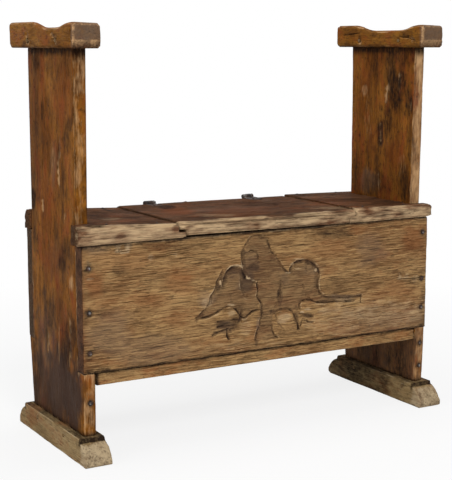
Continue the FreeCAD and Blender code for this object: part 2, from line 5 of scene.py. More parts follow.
import bmesh
import bpy
import numpy as np
from bpy.props import FloatProperty, FloatVectorProperty, IntProperty, PointerProperty
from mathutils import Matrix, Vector
from mathutils.kdtree import KDTree


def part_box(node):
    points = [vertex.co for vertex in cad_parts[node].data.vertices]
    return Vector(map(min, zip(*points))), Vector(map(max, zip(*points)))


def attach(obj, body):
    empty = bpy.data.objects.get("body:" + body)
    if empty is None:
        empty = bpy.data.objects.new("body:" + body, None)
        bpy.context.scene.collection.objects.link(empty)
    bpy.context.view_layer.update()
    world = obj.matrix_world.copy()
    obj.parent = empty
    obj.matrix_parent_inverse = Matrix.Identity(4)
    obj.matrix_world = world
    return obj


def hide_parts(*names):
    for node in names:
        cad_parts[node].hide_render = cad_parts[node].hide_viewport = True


bl_info = {
    "name": "Settle bench",
    "version": (1, 0, 0),
    "blender": (4, 5, 0),
    "location": "View3D > Sidebar > Bench",
    "description": "Old chest settle with a carved front, built around its packed frame",
    "category": "Object",
}

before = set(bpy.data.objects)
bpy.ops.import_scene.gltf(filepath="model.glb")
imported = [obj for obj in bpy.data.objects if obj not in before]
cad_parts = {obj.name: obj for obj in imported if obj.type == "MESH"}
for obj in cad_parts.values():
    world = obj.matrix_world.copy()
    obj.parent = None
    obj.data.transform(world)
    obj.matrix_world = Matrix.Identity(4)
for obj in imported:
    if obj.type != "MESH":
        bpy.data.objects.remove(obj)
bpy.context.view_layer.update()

# Places on the bench, in metres, read from the frame
SPAN_LOW, SPAN_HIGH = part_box("front_board")
UPRIGHT_LOW, UPRIGHT_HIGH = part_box("left_upright")
OUTER_LEFT = UPRIGHT_LOW.x
INNER_LEFT = UPRIGHT_HIGH.x
INNER_RIGHT = -INNER_LEFT
BOARD_FACE = SPAN_LOW.y
BOARD_TOP = SPAN_HIGH.z
BOARD_BOTTOM = SPAN_LOW.z
FOOT_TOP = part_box("left_foot")[1].z
ARM_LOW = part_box("left_armrest")[0]
RIGHT_ARM_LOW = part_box("right_armrest")[0]
SEAT_TOP = 0.5
RIDGE_END = 0.160
ARM_FRONT = ARM_LOW.y
X, Y, Z = 0, 1, 2

# Where bands of wear, painted shade and painted shadow begin, in metres from the middle or the floor
REAR_BAND = 0.098
TOP_SHADE = 0.77
BARE_NOSING = 0.1435
DARK_FOOT_REACH = 0.075

# Mesh steps and small sizes of the finished pieces, in metres
PLANK_STEP = 0.0045
BLOCK_STEP = 0.004
BOARD_STEP = 0.006
BACK_STEP = 0.008
FLOOR_STEP = 0.012
IRON_STEP = 0.0025
IRON_WEAR = 0.0005
EAGLE_STEP, EAGLE_REACH = 0.0021, 0.016
MARK_REACH = 0.012
STAIN_REACH, STAIN_STRENGTH = 0.0065, 0.75
NAIL_CAP_AREA, NAIL_RING, NAIL_RISE = 4.8e-6, 0.0009, 0.00025

# The photograph's camera, in the photograph's own pixels
PHOTO_CENTRE = (226.0, 240.0)
PHOTO_HEIGHT = 480.0
FOCAL_PIXELS = 1248.25
SENSOR = 36.0
EYE = np.array((-1.46893, -2.51455, 0.88524))
YAW, PITCH = math.radians(29.91), math.radians(-9.02)
FORWARD = np.array((math.sin(YAW) * math.cos(PITCH), math.cos(YAW) * math.cos(PITCH), math.sin(PITCH)))
SIDEWAYS = np.array((math.cos(YAW), -math.sin(YAW), 0.0))
UPWARD = np.cross(SIDEWAYS, FORWARD)


def photo_pixels(points):
    """Where points of the bench show in the photograph, in pixels."""
    away = points - EYE
    depth = away @ FORWARD
    across = PHOTO_CENTRE[0] + FOCAL_PIXELS * (away @ SIDEWAYS) / depth
    down = PHOTO_CENTRE[1] - FOCAL_PIXELS * (away @ UPWARD) / depth
    return np.stack((across, down), axis=1)


def on_plane(pixel, axis, level):
    """The point of the plane where one axis has a given level that shows at a pixel of the photograph."""
    across, down = pixel[0] - PHOTO_CENTRE[0], pixel[1] - PHOTO_CENTRE[1]
    ray = FORWARD * FOCAL_PIXELS + SIDEWAYS * across - UPWARD * down
    return EYE + ray * (level - EYE[axis]) / ray[axis]


# Colours

def srgb(code):
    """A linear colour from the usual six hexadecimal digits."""
    parts = [int(code[i:i + 2], 16) / 255 for i in (0, 2, 4)]
    return tuple(c / 12.92 if c <= 0.04045 else ((c + 0.055) / 1.055) ** 2.4 for c in parts)


def colour(name, description, code):
    return FloatVectorProperty(name=name, description=description, default=srgb(code),
                               subtype="COLOR", size=3, min=0.0, max=1.0)


def millimetres(name, description, value, most=20.0):
    return FloatProperty(name=name, description=description, default=value / 1000, min=0.0,
                         max=most / 1000, unit="LENGTH", subtype="DISTANCE", precision=4)


class BenchColours(bpy.types.PropertyGroup):
    upright_body: colour("Upright", "Main colour of the uprights", "794514")
    upright_streak: colour("Upright streak", "Darker grain of the uprights", "41240a")
    upright_glow: colour("Upright glow", "Lighter, rubbed grain of the uprights", "a36a22")
    upright_bare: colour("Upright edges", "Rubbed edges of the uprights and armrests", "c0986c")
    arm_body: colour("Armrest", "Main colour of the armrests", "7a4a14")
    arm_streak: colour("Armrest streak", "Darker grain of the armrests", "44250c")
    arm_glow: colour("Armrest glow", "Lighter grain of the armrests", "9d6a22")
    board_body: colour("Carved board", "Main colour of the front board", "916a42")
    board_streak: colour("Carved board streak", "Darker grain of the front board", "523419")
    board_glow: colour("Carved board glow", "Bleached ridges of the front board", "c09a66")
    seat_body: colour("Seat", "Main colour of the seat planks", "5f4028")
    seat_streak: colour("Seat streak", "Dark grain of the seat planks", "2e1c14")
    seat_glow: colour("Seat glow", "Lighter grain of the seat planks", "84583a")
    # Bare colour of the seat and the carved board: rubbed wood, and also painted highlight on the nosing and
    # the eagle's lips
    seat_bare: colour("Seat edge", "Front edge of the seat, rubbed bare", "c9ab84")
    foot_body: colour("Foot", "Main colour of the feet", "94794f")
    foot_streak: colour("Foot streak", "Darker grain of the feet", "4e3922")
    foot_glow: colour("Foot glow", "Lighter grain of the feet", "b39a6f")
    foot_bare: colour("Foot toes", "Scuffed toes of the feet", "bda785")
    back_body: colour("Back and floor boards", "Main colour of the hidden boards", "4e3d30")
    back_streak: colour("Back board streak", "Dark grain of the hidden boards", "241b15")
    back_glow: colour("Back board glow", "Lighter grain of the hidden boards", "6e5846")
    # Dark dirt and stains, and also the colour of painted shadow under the armrests, the seat's nosing and
    # the chest
    dirt_and_shadow: colour("Grime", "Dark dirt in hollows and stains", "20140d")
    # Colour of the painted shade in the carved eagle and on the left upright
    shade: colour("Carving shade", "Soft brown dirt in the carved eagle", "3a281e")
    warm: colour("Old varnish", "Orange-red patches of old finish", "84431a")
    silver: colour("Silvered wood", "Grey, dry wood", "766252")
    end_grain: colour("End grain", "Cut ends of the planks", "5b4632")
    iron: colour("Iron", "Forged iron", "2b2725")
    rust: colour("Rust", "Brown rust on the iron", "4d3426")
    bright_iron: colour("Rubbed iron", "Bright spots on the nail heads", "8f8a86")


class BenchSizes(bpy.types.PropertyGroup):
    skin_wave: millimetres("Surface wave", "How uneven the flat faces are", 0.5)
    edge_wear: millimetres("Edge wear", "How far the edges are worn away", 2.2)
    seat_wear: millimetres("Seat edge wear", "How far the seat's front edge is worn away", 3.2)
    carving_depth: millimetres("Carving depth", "Depth of the carved outlines", 5.4)
    crack_depth: millimetres("Crack depth", "Depth of the drying cracks", 9.0)
    nail_dent: millimetres("Nail dents", "Unevenness of the hammered nail heads", 0.35)
    seed: IntProperty(name="Seed", description="Starting number of all the random wear", default=7, min=0)


# Shader building

class Signal:
    """A value on the surface. Arithmetic on it adds the Math nodes."""

    def __init__(self, shader, socket):
        self.shader, self.socket = shader, socket

    def math(self, operation, *values, clamp=False):
        settings = {"operation": operation, "use_clamp": clamp}
        return self.shader.node("ShaderNodeMath", settings, dict(enumerate(values)))

    def __add__(self, other):
        return self.math("ADD", self, other)

    def __sub__(self, other):
        return self.math("SUBTRACT", self, other)

    def __rsub__(self, other):
        return self.math("SUBTRACT", other, self)

    def __mul__(self, other):
        return self.math("MULTIPLY", self, other)

    def __truediv__(self, other):
        return self.math("DIVIDE", self, other)

    def __pow__(self, other):
        return self.math("POWER", self, other)

    __radd__ = __add__
    __rmul__ = __mul__

    def most(self, other):
        return self.math("MAXIMUM", self, other)

    def clamped(self):
        return self.math("ADD", self, 0.0, clamp=True)

    def between(self, low, high):
        """0 below low, 1 above high, and straight between them."""
        return self.math("MULTIPLY", self - low, 1.0 / (high - low), clamp=True)


class Shader:
    """A material or a world under construction."""

    def __init__(self, name, kind="materials"):
        self.owner = getattr(bpy.data, kind).new(name)
        self.owner.use_nodes = True
        self.tree = self.owner.node_tree
        self.tree.nodes.clear()

    def node(self, kind, settings, inputs, output=0):
        made = self.tree.nodes.new(kind)
        for key, value in settings.items():
            setattr(made, key, value)
        for key, value in inputs.items():
            if isinstance(value, Signal):
                self.tree.links.new(value.socket, made.inputs[key])
            else:
                made.inputs[key].default_value = value
        return Signal(self, made.outputs[output] if len(made.outputs) else None)

    def mix(self, amount, under, over, blend="MIX"):
        settings = {"data_type": "RGBA", "blend_type": blend, "clamp_factor": True}
        under, over = [c if isinstance(c, Signal) else (*c, 1.0) for c in (under, over)]
        return self.node("ShaderNodeMix", settings, {0: amount, 6: under, 7: over}, 2)

    def painted(self, attribute):
        settings = {"attribute_type": "GEOMETRY", "attribute_name": attribute}
        return self.node("ShaderNodeAttribute", settings, {}, "Fac")

    def noise(self, place, periods, seed, detail=3.0, rough=0.55, output=0):
        """Noise between 0 and 1 with its own period along each axis, in metres."""
        scale = tuple(1.0 / period for period in periods)
        shift = (seed * 3.7, seed * 5.3, seed * 2.9)
        moved = self.node("ShaderNodeMapping", {}, {"Vector": place, "Location": shift, "Scale": scale})
        values = {"Vector": moved, "Scale": 1.0, "Detail": detail, "Roughness": rough}
        return self.node("ShaderNodeTexNoise", {}, values, output)

    def finish(self, base, roughness, height, bump, **constants):
        normal = self.node("ShaderNodeBump", {}, {"Strength": bump, "Distance": 0.001, "Height": height})
        values = {"Base Color": base, "Roughness": roughness, "Normal": normal}
        values.update({key.replace("_", " "): value for key, value in constants.items()})
        surface = self.node("ShaderNodeBsdfPrincipled", {}, values)
        self.node("ShaderNodeOutputMaterial", {}, {"Surface": surface})
        return self.owner


def lengthwise(grain, across, along):
    """Noise periods that are long in the grain's direction."""
    periods = [across, across, across]
    periods[grain] = along
    return periods


Wood = namedtuple("Wood", "name grain body streak glow bare pith ring fibre reach figure lines blotch seed "
                          "gloss sheen")


def wood_material(wood):
    """Old hand-planed wood: growth rings about a pith, short fibres, drying checks, and the painted wear,
    dirt, painted shade and painted highlights.
    """
    colours = bpy.context.scene.bench_colours
    shader = Shader(wood.name)
    grain, seed = wood.grain, wood.seed
    across = [axis for axis in (X, Y, Z) if axis != grain]
    place = shader.node("ShaderNodeTexCoord", {}, {}, "Object")
    bend = [0.007, 0.007, 0.007]
    bend[grain] = 0.0
    wave = shader.noise(place, lengthwise(grain, 0.026, 0.050), seed, 3.0, output="Color")
    bent = shader.node("ShaderNodeVectorMath", {"operation": "MULTIPLY_ADD"}, {0: wave, 1: bend, 2: place})
    parts = [shader.node("ShaderNodeSeparateXYZ", {}, {0: bent}, axis) for axis in (X, Y, Z)]
    offset = [parts[axis] - pith for axis, pith in zip(across, wood.pith)]
    sway = shader.noise(place, lengthwise(grain, 0.16, 0.50), seed + 1, 2.0)
    radius = (offset[0] * offset[0] + offset[1] * offset[1]) ** 0.5 + sway * 0.06
    ring_place = shader.node("ShaderNodeCombineXYZ", {}, {X: radius / wood.ring, Y: parts[grain] / 0.45})
    ring = shader.node("ShaderNodeTexNoise", {}, {"Vector": ring_place, "Scale": 1.0, "Detail": 3.0,
                                                  "Roughness": 0.72})
    ring = ring.between(0.34, 0.66)
    tone = shader.noise(place, lengthwise(grain, 0.07, 0.20), seed + 2, 3.0, 0.6).between(0.36, 0.64)
    fibre = shader.noise(bent, lengthwise(grain, wood.fibre, wood.fibre * wood.reach), seed + 3, 3.0, 0.65)
    fibre = fibre.between(0.36, 0.64)
    check = shader.noise(bent, lengthwise(grain, wood.fibre * 0.8, wood.fibre * wood.reach * 1.5), seed + 4,
                         2.0, 0.6)
    check = check.between(0.59, 0.67)
    speck = shader.noise(place, lengthwise(grain, 0.0030, 0.0085), seed + 8, 2.0, 0.55).between(0.66, 0.72)
    mottle = shader.noise(place, lengthwise(grain, 0.010, 0.014), seed + 5, 4.0, 0.68)
    patch = shader.noise(place, lengthwise(grain, 0.035, 0.08), seed + 6, 4.0, 0.62)

    base = shader.mix((1 - ring) * wood.figure, wood.body, wood.streak)
    base = shader.mix(tone * (0.35 + ring * 0.5), base, wood.glow)
    base = shader.mix((fibre - 0.5).clamped() * wood.lines * 1.3, base, wood.glow)
    base = shader.mix((0.5 - fibre).clamped() * wood.lines * 1.5, base, wood.streak)
    base = shader.mix(patch.between(0.50, 0.66) * wood.blotch, base, colours.warm)
    base = shader.mix(patch.between(0.48, 0.34) * wood.blotch * 0.8, base, wood.streak)
    base = shader.mix(mottle.between(0.54, 0.72) * wood.blotch * 0.8, base, colours.dirt_and_shadow)
    base = shader.mix(check * wood.lines * 0.55, base, colours.dirt_and_shadow)
    base = shader.mix(speck * wood.blotch * 1.1, base, colours.dirt_and_shadow)

    silver = shader.painted("silver")
    base = shader.mix((silver * (0.35 + mottle * 0.9)).clamped(), base, colours.silver)
    ends = shader.painted("end_grain")
    speckle = shader.noise(place, (0.0045, 0.0045, 0.0045), seed + 7, 3.0, 0.7)
    sawn = shader.mix(speckle.between(0.35, 0.65), colours.dirt_and_shadow, colours.end_grain)
    base = shader.mix((ends * 0.8).clamped(), base, sawn)
    warm = shader.painted("warm")
    base = shader.mix((warm * (0.4 + fibre * 0.5)).clamped(), base, colours.warm)
    base = shader.mix(shader.painted("shade"), base, colours.shade)
    # Wear and painted highlights lighten the wood toward the bare colour
    worn = shader.painted("worn")
    rubbed = (worn * 1.5 + fibre * 0.45 + mottle * 0.6 - 0.80).clamped()
    base = shader.mix(rubbed * 0.9, base, wood.bare)
    base = shader.mix(rubbed * check * 0.6, base, colours.dirt_and_shadow)
    # Dirt and painted shadow darken the wood toward the dark dirt colour
    dirt_and_shadow = shader.painted("dirt_and_shadow")
    dirt = (dirt_and_shadow * 1.2 + dirt_and_shadow * (mottle - 0.5) * 2.0 + dirt_and_shadow * (0.5 - fibre) * 0.6).clamped()
    base = shader.mix(dirt * 0.93, base, colours.dirt_and_shadow)

    roughness = (0.82 - wood.gloss * (0.4 + tone * 0.6) + dirt * 0.15 + check * 0.2).clamped()
    height = fibre * (0.4 + wood.lines) + ring * 0.4 - check * (0.6 + wood.lines * 1.6) - speck + mottle * 0.6
    return shader.finish(base, roughness, height, 0.8, Specular_IOR_Level=wood.sheen)


def iron_material():
    colours = bpy.context.scene.bench_colours
    shader = Shader("forged_iron")
    place = shader.node("ShaderNodeTexCoord", {}, {}, "Object")
    pits = shader.noise(place, (0.004, 0.004, 0.004), 3, 4.0, 0.7)
    blotch = shader.noise(place, (0.013, 0.013, 0.013), 5, 3.0, 0.6)
    rubbed = shader.painted("worn")
    base = shader.mix(blotch.between(0.42, 0.62), colours.iron, colours.rust)
    base = shader.mix((rubbed * 1.3 + pits * 0.8 - 0.80).clamped(), base, colours.bright_iron)
    roughness = 0.5 + pits * 0.4
    height = pits * 1.6 + blotch * 0.6
    return shader.finish(base, roughness, height, 0.8, Metallic=0.35, Specular_IOR_Level=0.3)


def peg_material():
    colours = bpy.context.scene.bench_colours
    shader = Shader("peg_wood")
    place = shader.node("ShaderNodeTexCoord", {}, {}, "Object")
    rings = shader.noise(place, (0.002, 0.002, 0.002), 4, 3.0, 0.7)
    blotch = shader.noise(place, (0.009, 0.009, 0.009), 6, 2.0)
    base = shader.mix(rings.between(0.3, 0.7), colours.upright_streak, colours.foot_body)
    base = shader.mix(blotch.between(0.4, 0.7) * 0.5, base, colours.silver)
    return shader.finish(base, 0.65 + rings * 0.25, rings, 0.6, Specular_IOR_Level=0.1)


# Helpers for arrays, layers of wear, dirt, painted shade and painted highlights, and meshes

def unit(values):
    """Values held between 0 and 1."""
    return np.clip(values, 0.0, 1.0)


def lay(layers, kind, values):
    """Add a layer of one kind (wear, dirt, painted shade or painted highlight) where it is stronger than what
    is there.
    """
    layers[kind] = np.maximum(layers[kind], values)


LATTICE_SIZE = 32


def random_noise(points, periods, seed, octaves=3):
    """Seeded smooth noise, about -1 to 1, at an array of points in metres."""
    lattice = np.random.default_rng(seed).uniform(-1.0, 1.0, (LATTICE_SIZE,) * 3)
    total = np.zeros(len(points))
    for octave in range(octaves):
        place = (points / np.array(periods)) * 2 ** octave + seed * 0.37
        cell = np.floor(place).astype(int)
        share = place - cell
        share = share * share * (3 - 2 * share)
        for corner in np.ndindex(2, 2, 2):
            i, j, k = ((cell + corner) % LATTICE_SIZE).T
            weight = np.prod(np.where(corner, share, 1 - share), axis=1)
            total += lattice[i, j, k] * weight * 0.62 ** octave * 1.15
    return total


def merged_copy(*nodes):
    """One bmesh of CAD nodes, merged and without the triangles' inner edges."""
    bm = bmesh.new()
    for node in nodes:
        bm.from_mesh(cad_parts[node].data)
    bmesh.ops.remove_doubles(bm, verts=bm.verts, dist=1e-6)
    bmesh.ops.dissolve_limit(bm, angle_limit=math.radians(0.3), verts=bm.verts, edges=bm.edges)
    return bm


def corner_points(bm):
    points = np.array([v.co for v in bm.verts])
    return points.min(axis=0), points.max(axis=0)


def slice_grid(bm, step):
    """Cut the planks across on a regular grid, then drop the slanting edges left on flat faces."""
    low, high = corner_points(bm)
    for axis in (X, Y, Z):
        count = round((high[axis] - low[axis]) / step)
        direction = [0, 0, 0]
        direction[axis] = 1
        for i in range(1, count):
            point = [0, 0, 0]
            point[axis] = low[axis] + (high[axis] - low[axis]) * i / count
            everything = bm.verts[:] + bm.edges[:] + bm.faces[:]
            bmesh.ops.bisect_plane(bm, geom=everything, dist=2e-5, plane_co=point, plane_no=direction)
    slanting = []
    for edge in bm.edges:
        run = edge.verts[0].co - edge.verts[1].co
        if max(abs(c) for c in run) < 0.999 * run.length and len(edge.link_faces) == 2:
            if edge.calc_face_angle(1.0) < 0.002:
                slanting.append(edge)
    bmesh.ops.dissolve_edges(bm, edges=slanting, use_verts=False)


def refine(bm, longest, inside=None, passes=6):
    """Halve the edges that are too long, until none is, in the whole mesh or where inside() says."""
    for _ in range(passes):
        edges = [e for e in bm.edges if e.calc_length() > longest and (inside is None or inside(e))]
        if not edges:
            break
        bmesh.ops.subdivide_edges(bm, edges=edges, cuts=1, use_grid_fill=True)


def add_object(name, bm, material):
    bmesh.ops.recalc_face_normals(bm, faces=bm.faces)
    mesh = bpy.data.meshes.new(name)
    bm.to_mesh(mesh)
    bm.free()
    mesh.materials.append(material)
    made = bpy.data.objects.new(name, mesh)
    bpy.context.scene.collection.objects.link(made)
    return made


def soften(made, angle=38.0):
    mesh = made.data
    mesh.polygons.foreach_set("use_smooth", [True] * len(mesh.polygons))
    mesh.set_sharp_from_angle(angle=math.radians(angle))


def vertex_arrays(mesh):
    count = len(mesh.vertices)
    points, normals = np.zeros(count * 3), np.zeros(count * 3)
    mesh.vertices.foreach_get("co", points)
    mesh.vertices.foreach_get("normal", normals)
    return points.reshape(-1, 3), normals.reshape(-1, 3)


def paint(made, name, values):
    layer = made.data.attributes.new(name, "FLOAT", "POINT")
    layer.data.foreach_set("value", unit(values).astype(np.float32))


def refinish(node, material):
    """Give a node of the frame a better material in its object's own slots."""
    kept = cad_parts[node]
    for slot in kept.material_slots:
        slot.link = "OBJECT"
        slot.material = material


Mark = namedtuple("Mark", "paint across down half_width half_height strength")


def marks_of(kind, *rows):
    return tuple(Mark(kind, *row) for row in rows)


def mark_strength(mark, pixels, wobble):
    """How strongly a soft mark of the photograph covers each point, from its pixel place."""
    across = (pixels[:, 0] - mark.across) / mark.half_width
    down = (pixels[:, 1] - mark.down) / mark.half_height
    reach = np.hypot(across, down) + wobble * 0.35
    return mark.strength * unit((1.25 - reach) / 0.6)


def crack_blade(bm, path, width, depth, inward):
    """A thin tapering wedge along a path on the surface, to be cut out of a plank."""
    inward = Vector(inward)
    rings = []
    last = len(path) - 1
    for i, point in enumerate(path):
        point = Vector(point)
        ahead = (Vector(path[min(i + 1, last)]) - Vector(path[max(i - 1, 0)])).normalized()
        side = ahead.cross(inward).normalized()
        size = 0.25 + 0.75 * math.sin(math.pi * (i + 0.5) / (last + 1))
        corners = [
            point - inward * 0.001 - side * width * size * 0.5,
            point - inward * 0.001 + side * width * size * 0.5,
            point + inward * depth * size,
        ]
        rings.append([bm.verts.new(c) for c in corners])
    for a, b in zip(rings, rings[1:]):
        edges = []
        for ring in (a, b):
            for i in range(3):
                pair = (ring[i], ring[(i + 1) % 3])
                edges.append(bm.edges.get(pair) or bm.edges.new(pair))
        bmesh.ops.bridge_loops(bm, edges=edges)
    bm.faces.new(rings[0])
    bm.faces.new(list(reversed(rings[-1])))


Crack = namedtuple("Crack", "axis level path width")


def cracks_in(axis, level, *rows):
    """Cracks in the face where an axis has a level and the wood lies beyond it, as paths and widths."""
    return tuple(Crack(axis, level, path, width) for path, width in rows)


def jagged(path, rng, roughness=0.0009):
    """More points along a path, each a little off the line, as a split follows the grain."""
    points = []
    for start, end in zip(path, path[1:]):
        start, end = np.array(start), np.array(end)
        count = max(2, int(np.linalg.norm(end - start) / 0.012))
        for i in range(count):
            points.append(start + (end - start) * i / count)
    points.append(np.array(path[-1]))
    for point in points[1:-1]:
        point += np.array([rng.uniform(-roughness, roughness) for _ in range(3)])
    return points


def cut_cracks(bm, cracks, seed):
    """Subtract the crack wedges from a merged plank and give back the cut mesh."""
    if not cracks:
        return bm
    depth = bpy.context.scene.bench_sizes.crack_depth
    rng = random.Random(seed)
    blades = bmesh.new()
    for crack in cracks:
        path = [on_plane(pixel, crack.axis, crack.level) for pixel in crack.path]
        inward = [0.0, 0.0, 0.0]
        inward[crack.axis] = 1.0
        path = jagged(path, rng)
        for point in path:
            point[crack.axis] = crack.level
        crack_blade(blades, path, crack.width, depth, inward)
    plank = add_object("plank_to_cut", bm, None)
    blade = add_object("crack_blades", blades, None)
    cut = plank.modifiers.new("cracks", "BOOLEAN")
    cut.operation, cut.solver, cut.object, cut.use_self = "DIFFERENCE", "EXACT", blade, True
    bpy.context.view_layer.update()
    result = bmesh.new()
    result.from_object(plank, bpy.context.evaluated_depsgraph_get())
    for used in (plank, blade):
        mesh = used.data
        bpy.data.objects.remove(used)
        bpy.data.meshes.remove(mesh)
    return result


Hollow = namedtuple("Hollow", "centre radii depth")


def stain_round(points, node, reach):
    """How near each point is to a node's ironwork: 1 at the iron, 0 at the given reach."""
    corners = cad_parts[node].data.vertices
    tree = KDTree(len(corners))
    for i, corner in enumerate(corners):
        tree.insert(corner.co, i)
    tree.balance()
    distance = np.array([tree.find(p)[2] for p in points])
    return unit(1.0 - distance / reach)


def worn_piece(name, body, nodes, material, grain, step, edge_wear, cracks=(), marks=(), face=None,
               hollows=(), painter=None, finer=None, iron=(), flush=()):
    """A plank of the frame with its cracks, uneven skin, edges rubbed away, chips, and painted wear, dirt,
    painted shade and painted highlights.
    Faces at the flush heights touch another piece, and keep their level."""
    sizes = bpy.context.scene.bench_sizes
    seed = sizes.seed + sum(ord(letter) for letter in name) % 97
    bm = cut_cracks(merged_copy(*nodes), cracks, seed)
    slice_grid(bm, step * 4)
    refine(bm, step * 1.5)
    if finer:
        finer(bm)
    bmesh.ops.triangulate(bm, faces=bm.faces)
    made = add_object(name, bm, material)
    points, normals = vertex_arrays(made.data)
    edge = unit((1.0 - np.abs(normals).max(axis=1)) / 0.26)
    wave = random_noise(points, lengthwise(grain, 0.05, 0.16), seed, 3)
    nibble = random_noise(points, lengthwise(grain, 0.014, 0.045), seed + 1, 3)
    bite = np.clip(nibble * 1.4 + wave * 0.8 + 0.25, 0.0, 1.3)
    skin = 0.5 + 0.5 * np.clip(wave + nibble * 0.5, -1.0, 1.0)
    inward = sizes.skin_wave * skin + edge_wear * edge * bite
    for hollow in hollows:
        reach = np.linalg.norm((points - np.array(hollow.centre)) / np.array(hollow.radii), axis=1)
        inward = inward + hollow.depth * unit(1.2 - reach + 0.3 * nibble)
    moved = points - normals * inward[:, None]
    for height in flush:
        on = np.abs(points[:, Z] - height) < 1e-4
        moved[on, Z] = points[on, Z]
    made.data.vertices.foreach_set("co", moved.ravel())
    made.data.update()
    pixels = photo_pixels(points)
    layers = {"worn": edge * unit(0.55 + 0.6 * nibble), "dirt_and_shadow": np.zeros(len(points)),
              "warm": np.zeros(len(points)), "silver": np.zeros(len(points)), "shade": np.zeros(len(points)),
              "end_grain": unit((np.abs(normals[:, grain]) - 0.5) / 0.4)}
    if painter:
        painter(points, normals, layers, wave, nibble)
    for node in iron:
        lay(layers, "dirt_and_shadow", STAIN_STRENGTH * stain_round(points, node, STAIN_REACH))
    if marks:
        axis, level = face
        near = np.abs(points[:, axis] - level) < MARK_REACH
        wobble = random_noise(points, lengthwise(grain, 0.02, 0.05), seed + 3, 3)
        for mark in marks:
            lay(layers, mark.paint, mark_strength(mark, pixels, wobble) * near)
    for layer, values in layers.items():
        paint(made, layer, values)
    soften(made)
    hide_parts(*nodes)
    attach(made, body)
    return made


# What the photograph shows on each face, in its pixels

LEFT_OUTER_MARKS = (
    marks_of(
        "shade", (70, 398, 14, 46, 0.95), (58, 388, 15, 50, 0.92), (44, 398, 16, 44, 0.75),
        (60, 262, 14, 20, 0.3), (33, 150, 7, 100, 0.35), (50, 320, 20, 30, 0.25))
    # Dirt, stains and dark cracks; the rows near the top, just under the armrest, are painted shadow
    + marks_of(
        "dirt_and_shadow", (33, 198, 5, 10, 0.8), (36, 62, 3, 8, 0.4), (58, 150, 1.8, 18, 0.5),
        (68, 128, 3, 10, 0.45), (66, 248, 5, 12, 0.4), (62, 265, 4, 9, 0.55), (42, 112, 1.6, 14, 0.5),
        (78, 52, 9, 3, 0.55), (50, 48, 26, 2.2, 0.6), (48, 315, 5, 24, 0.45), (36, 365, 7, 40, 0.4),
        (44, 420, 12, 12, 0.5), (68, 345, 10, 22, 0.45), (36, 240, 4, 14, 0.3), (46, 285, 4, 18, 0.3),
        (60, 66, 18, 10, 0.22), (66, 140, 4, 14, 0.4), (74, 232, 3, 14, 0.35), (56, 230, 3, 10, 0.25))
    + marks_of(
        "silver", (53, 162, 3.2, 22, 0.3), (45, 345, 8, 38, 0.35))
    + marks_of(
        "warm", (52, 262, 7, 16, 0.5), (46, 200, 8, 26, 0.45), (62, 100, 9, 30, 0.4))
    + marks_of(
        "worn", (71, 284, 2.6, 9, 0.6), (59, 340, 0.9, 24, 0.45), (53, 160, 2.2, 16, 0.25))
)
RIGHT_INNER_MARKS = (
    # Stains and dirt; the long rows just under the armrest are painted shadow
    marks_of(
        "dirt_and_shadow", (396, 88, 10, 26, 0.7), (388, 118, 6, 18, 0.55), (380, 134, 3, 14, 0.75),
        (376, 70, 3, 22, 0.4), (408, 100, 4, 16, 0.65), (397, 58, 16, 9, 0.55), (378, 185, 14, 14, 0.4),
        (404, 185, 7, 18, 0.5), (385, 50, 32, 3, 0.75), (381, 108, 2, 5, 0.6), (356, 175, 3, 26, 0.3),
        (410, 140, 3, 24, 0.35))
    + marks_of(
        "warm", (365, 78, 6, 14, 0.45), (394, 150, 10, 12, 0.5), (372, 140, 5, 16, 0.4))
    + marks_of(
        "silver", (368, 180, 8, 12, 0.5))
    + marks_of(
        "worn", (365, 90, 3, 5, 0.4), (402, 165, 4, 14, 0.22), (368, 120, 5, 22, 0.2))
)
BOARD_MARKS = (
    marks_of(
        "dirt_and_shadow", (118, 270, 10, 8, 0.3), (104, 313, 10, 4, 0.4), (412, 281, 10, 3, 0.5),
        (335, 233, 16, 5, 0.45), (170, 246, 30, 4, 0.4), (104, 370, 9, 2.5, 0.7), (424, 300, 3, 30, 0.3),
        (340, 285, 14, 10, 0.22))
    + marks_of(
        "warm", (96, 284, 9, 14, 0.6), (150, 300, 22, 8, 0.4), (180, 285, 16, 12, 0.4),
        (412, 240, 14, 14, 0.55), (400, 290, 16, 14, 0.4), (120, 262, 30, 10, 0.3), (330, 250, 20, 10, 0.3))
    + marks_of(
        "silver", (96, 245, 12, 8, 0.6), (372, 250, 14, 18, 0.35), (150, 350, 60, 14, 0.35),
        (380, 320, 50, 16, 0.3), (205, 300, 10, 8, 0.4), (110, 335, 24, 22, 0.4))
    + marks_of(
        "worn", (380, 312, 55, 18, 0.32), (330, 325, 40, 12, 0.25), (250, 345, 60, 8, 0.2))
)
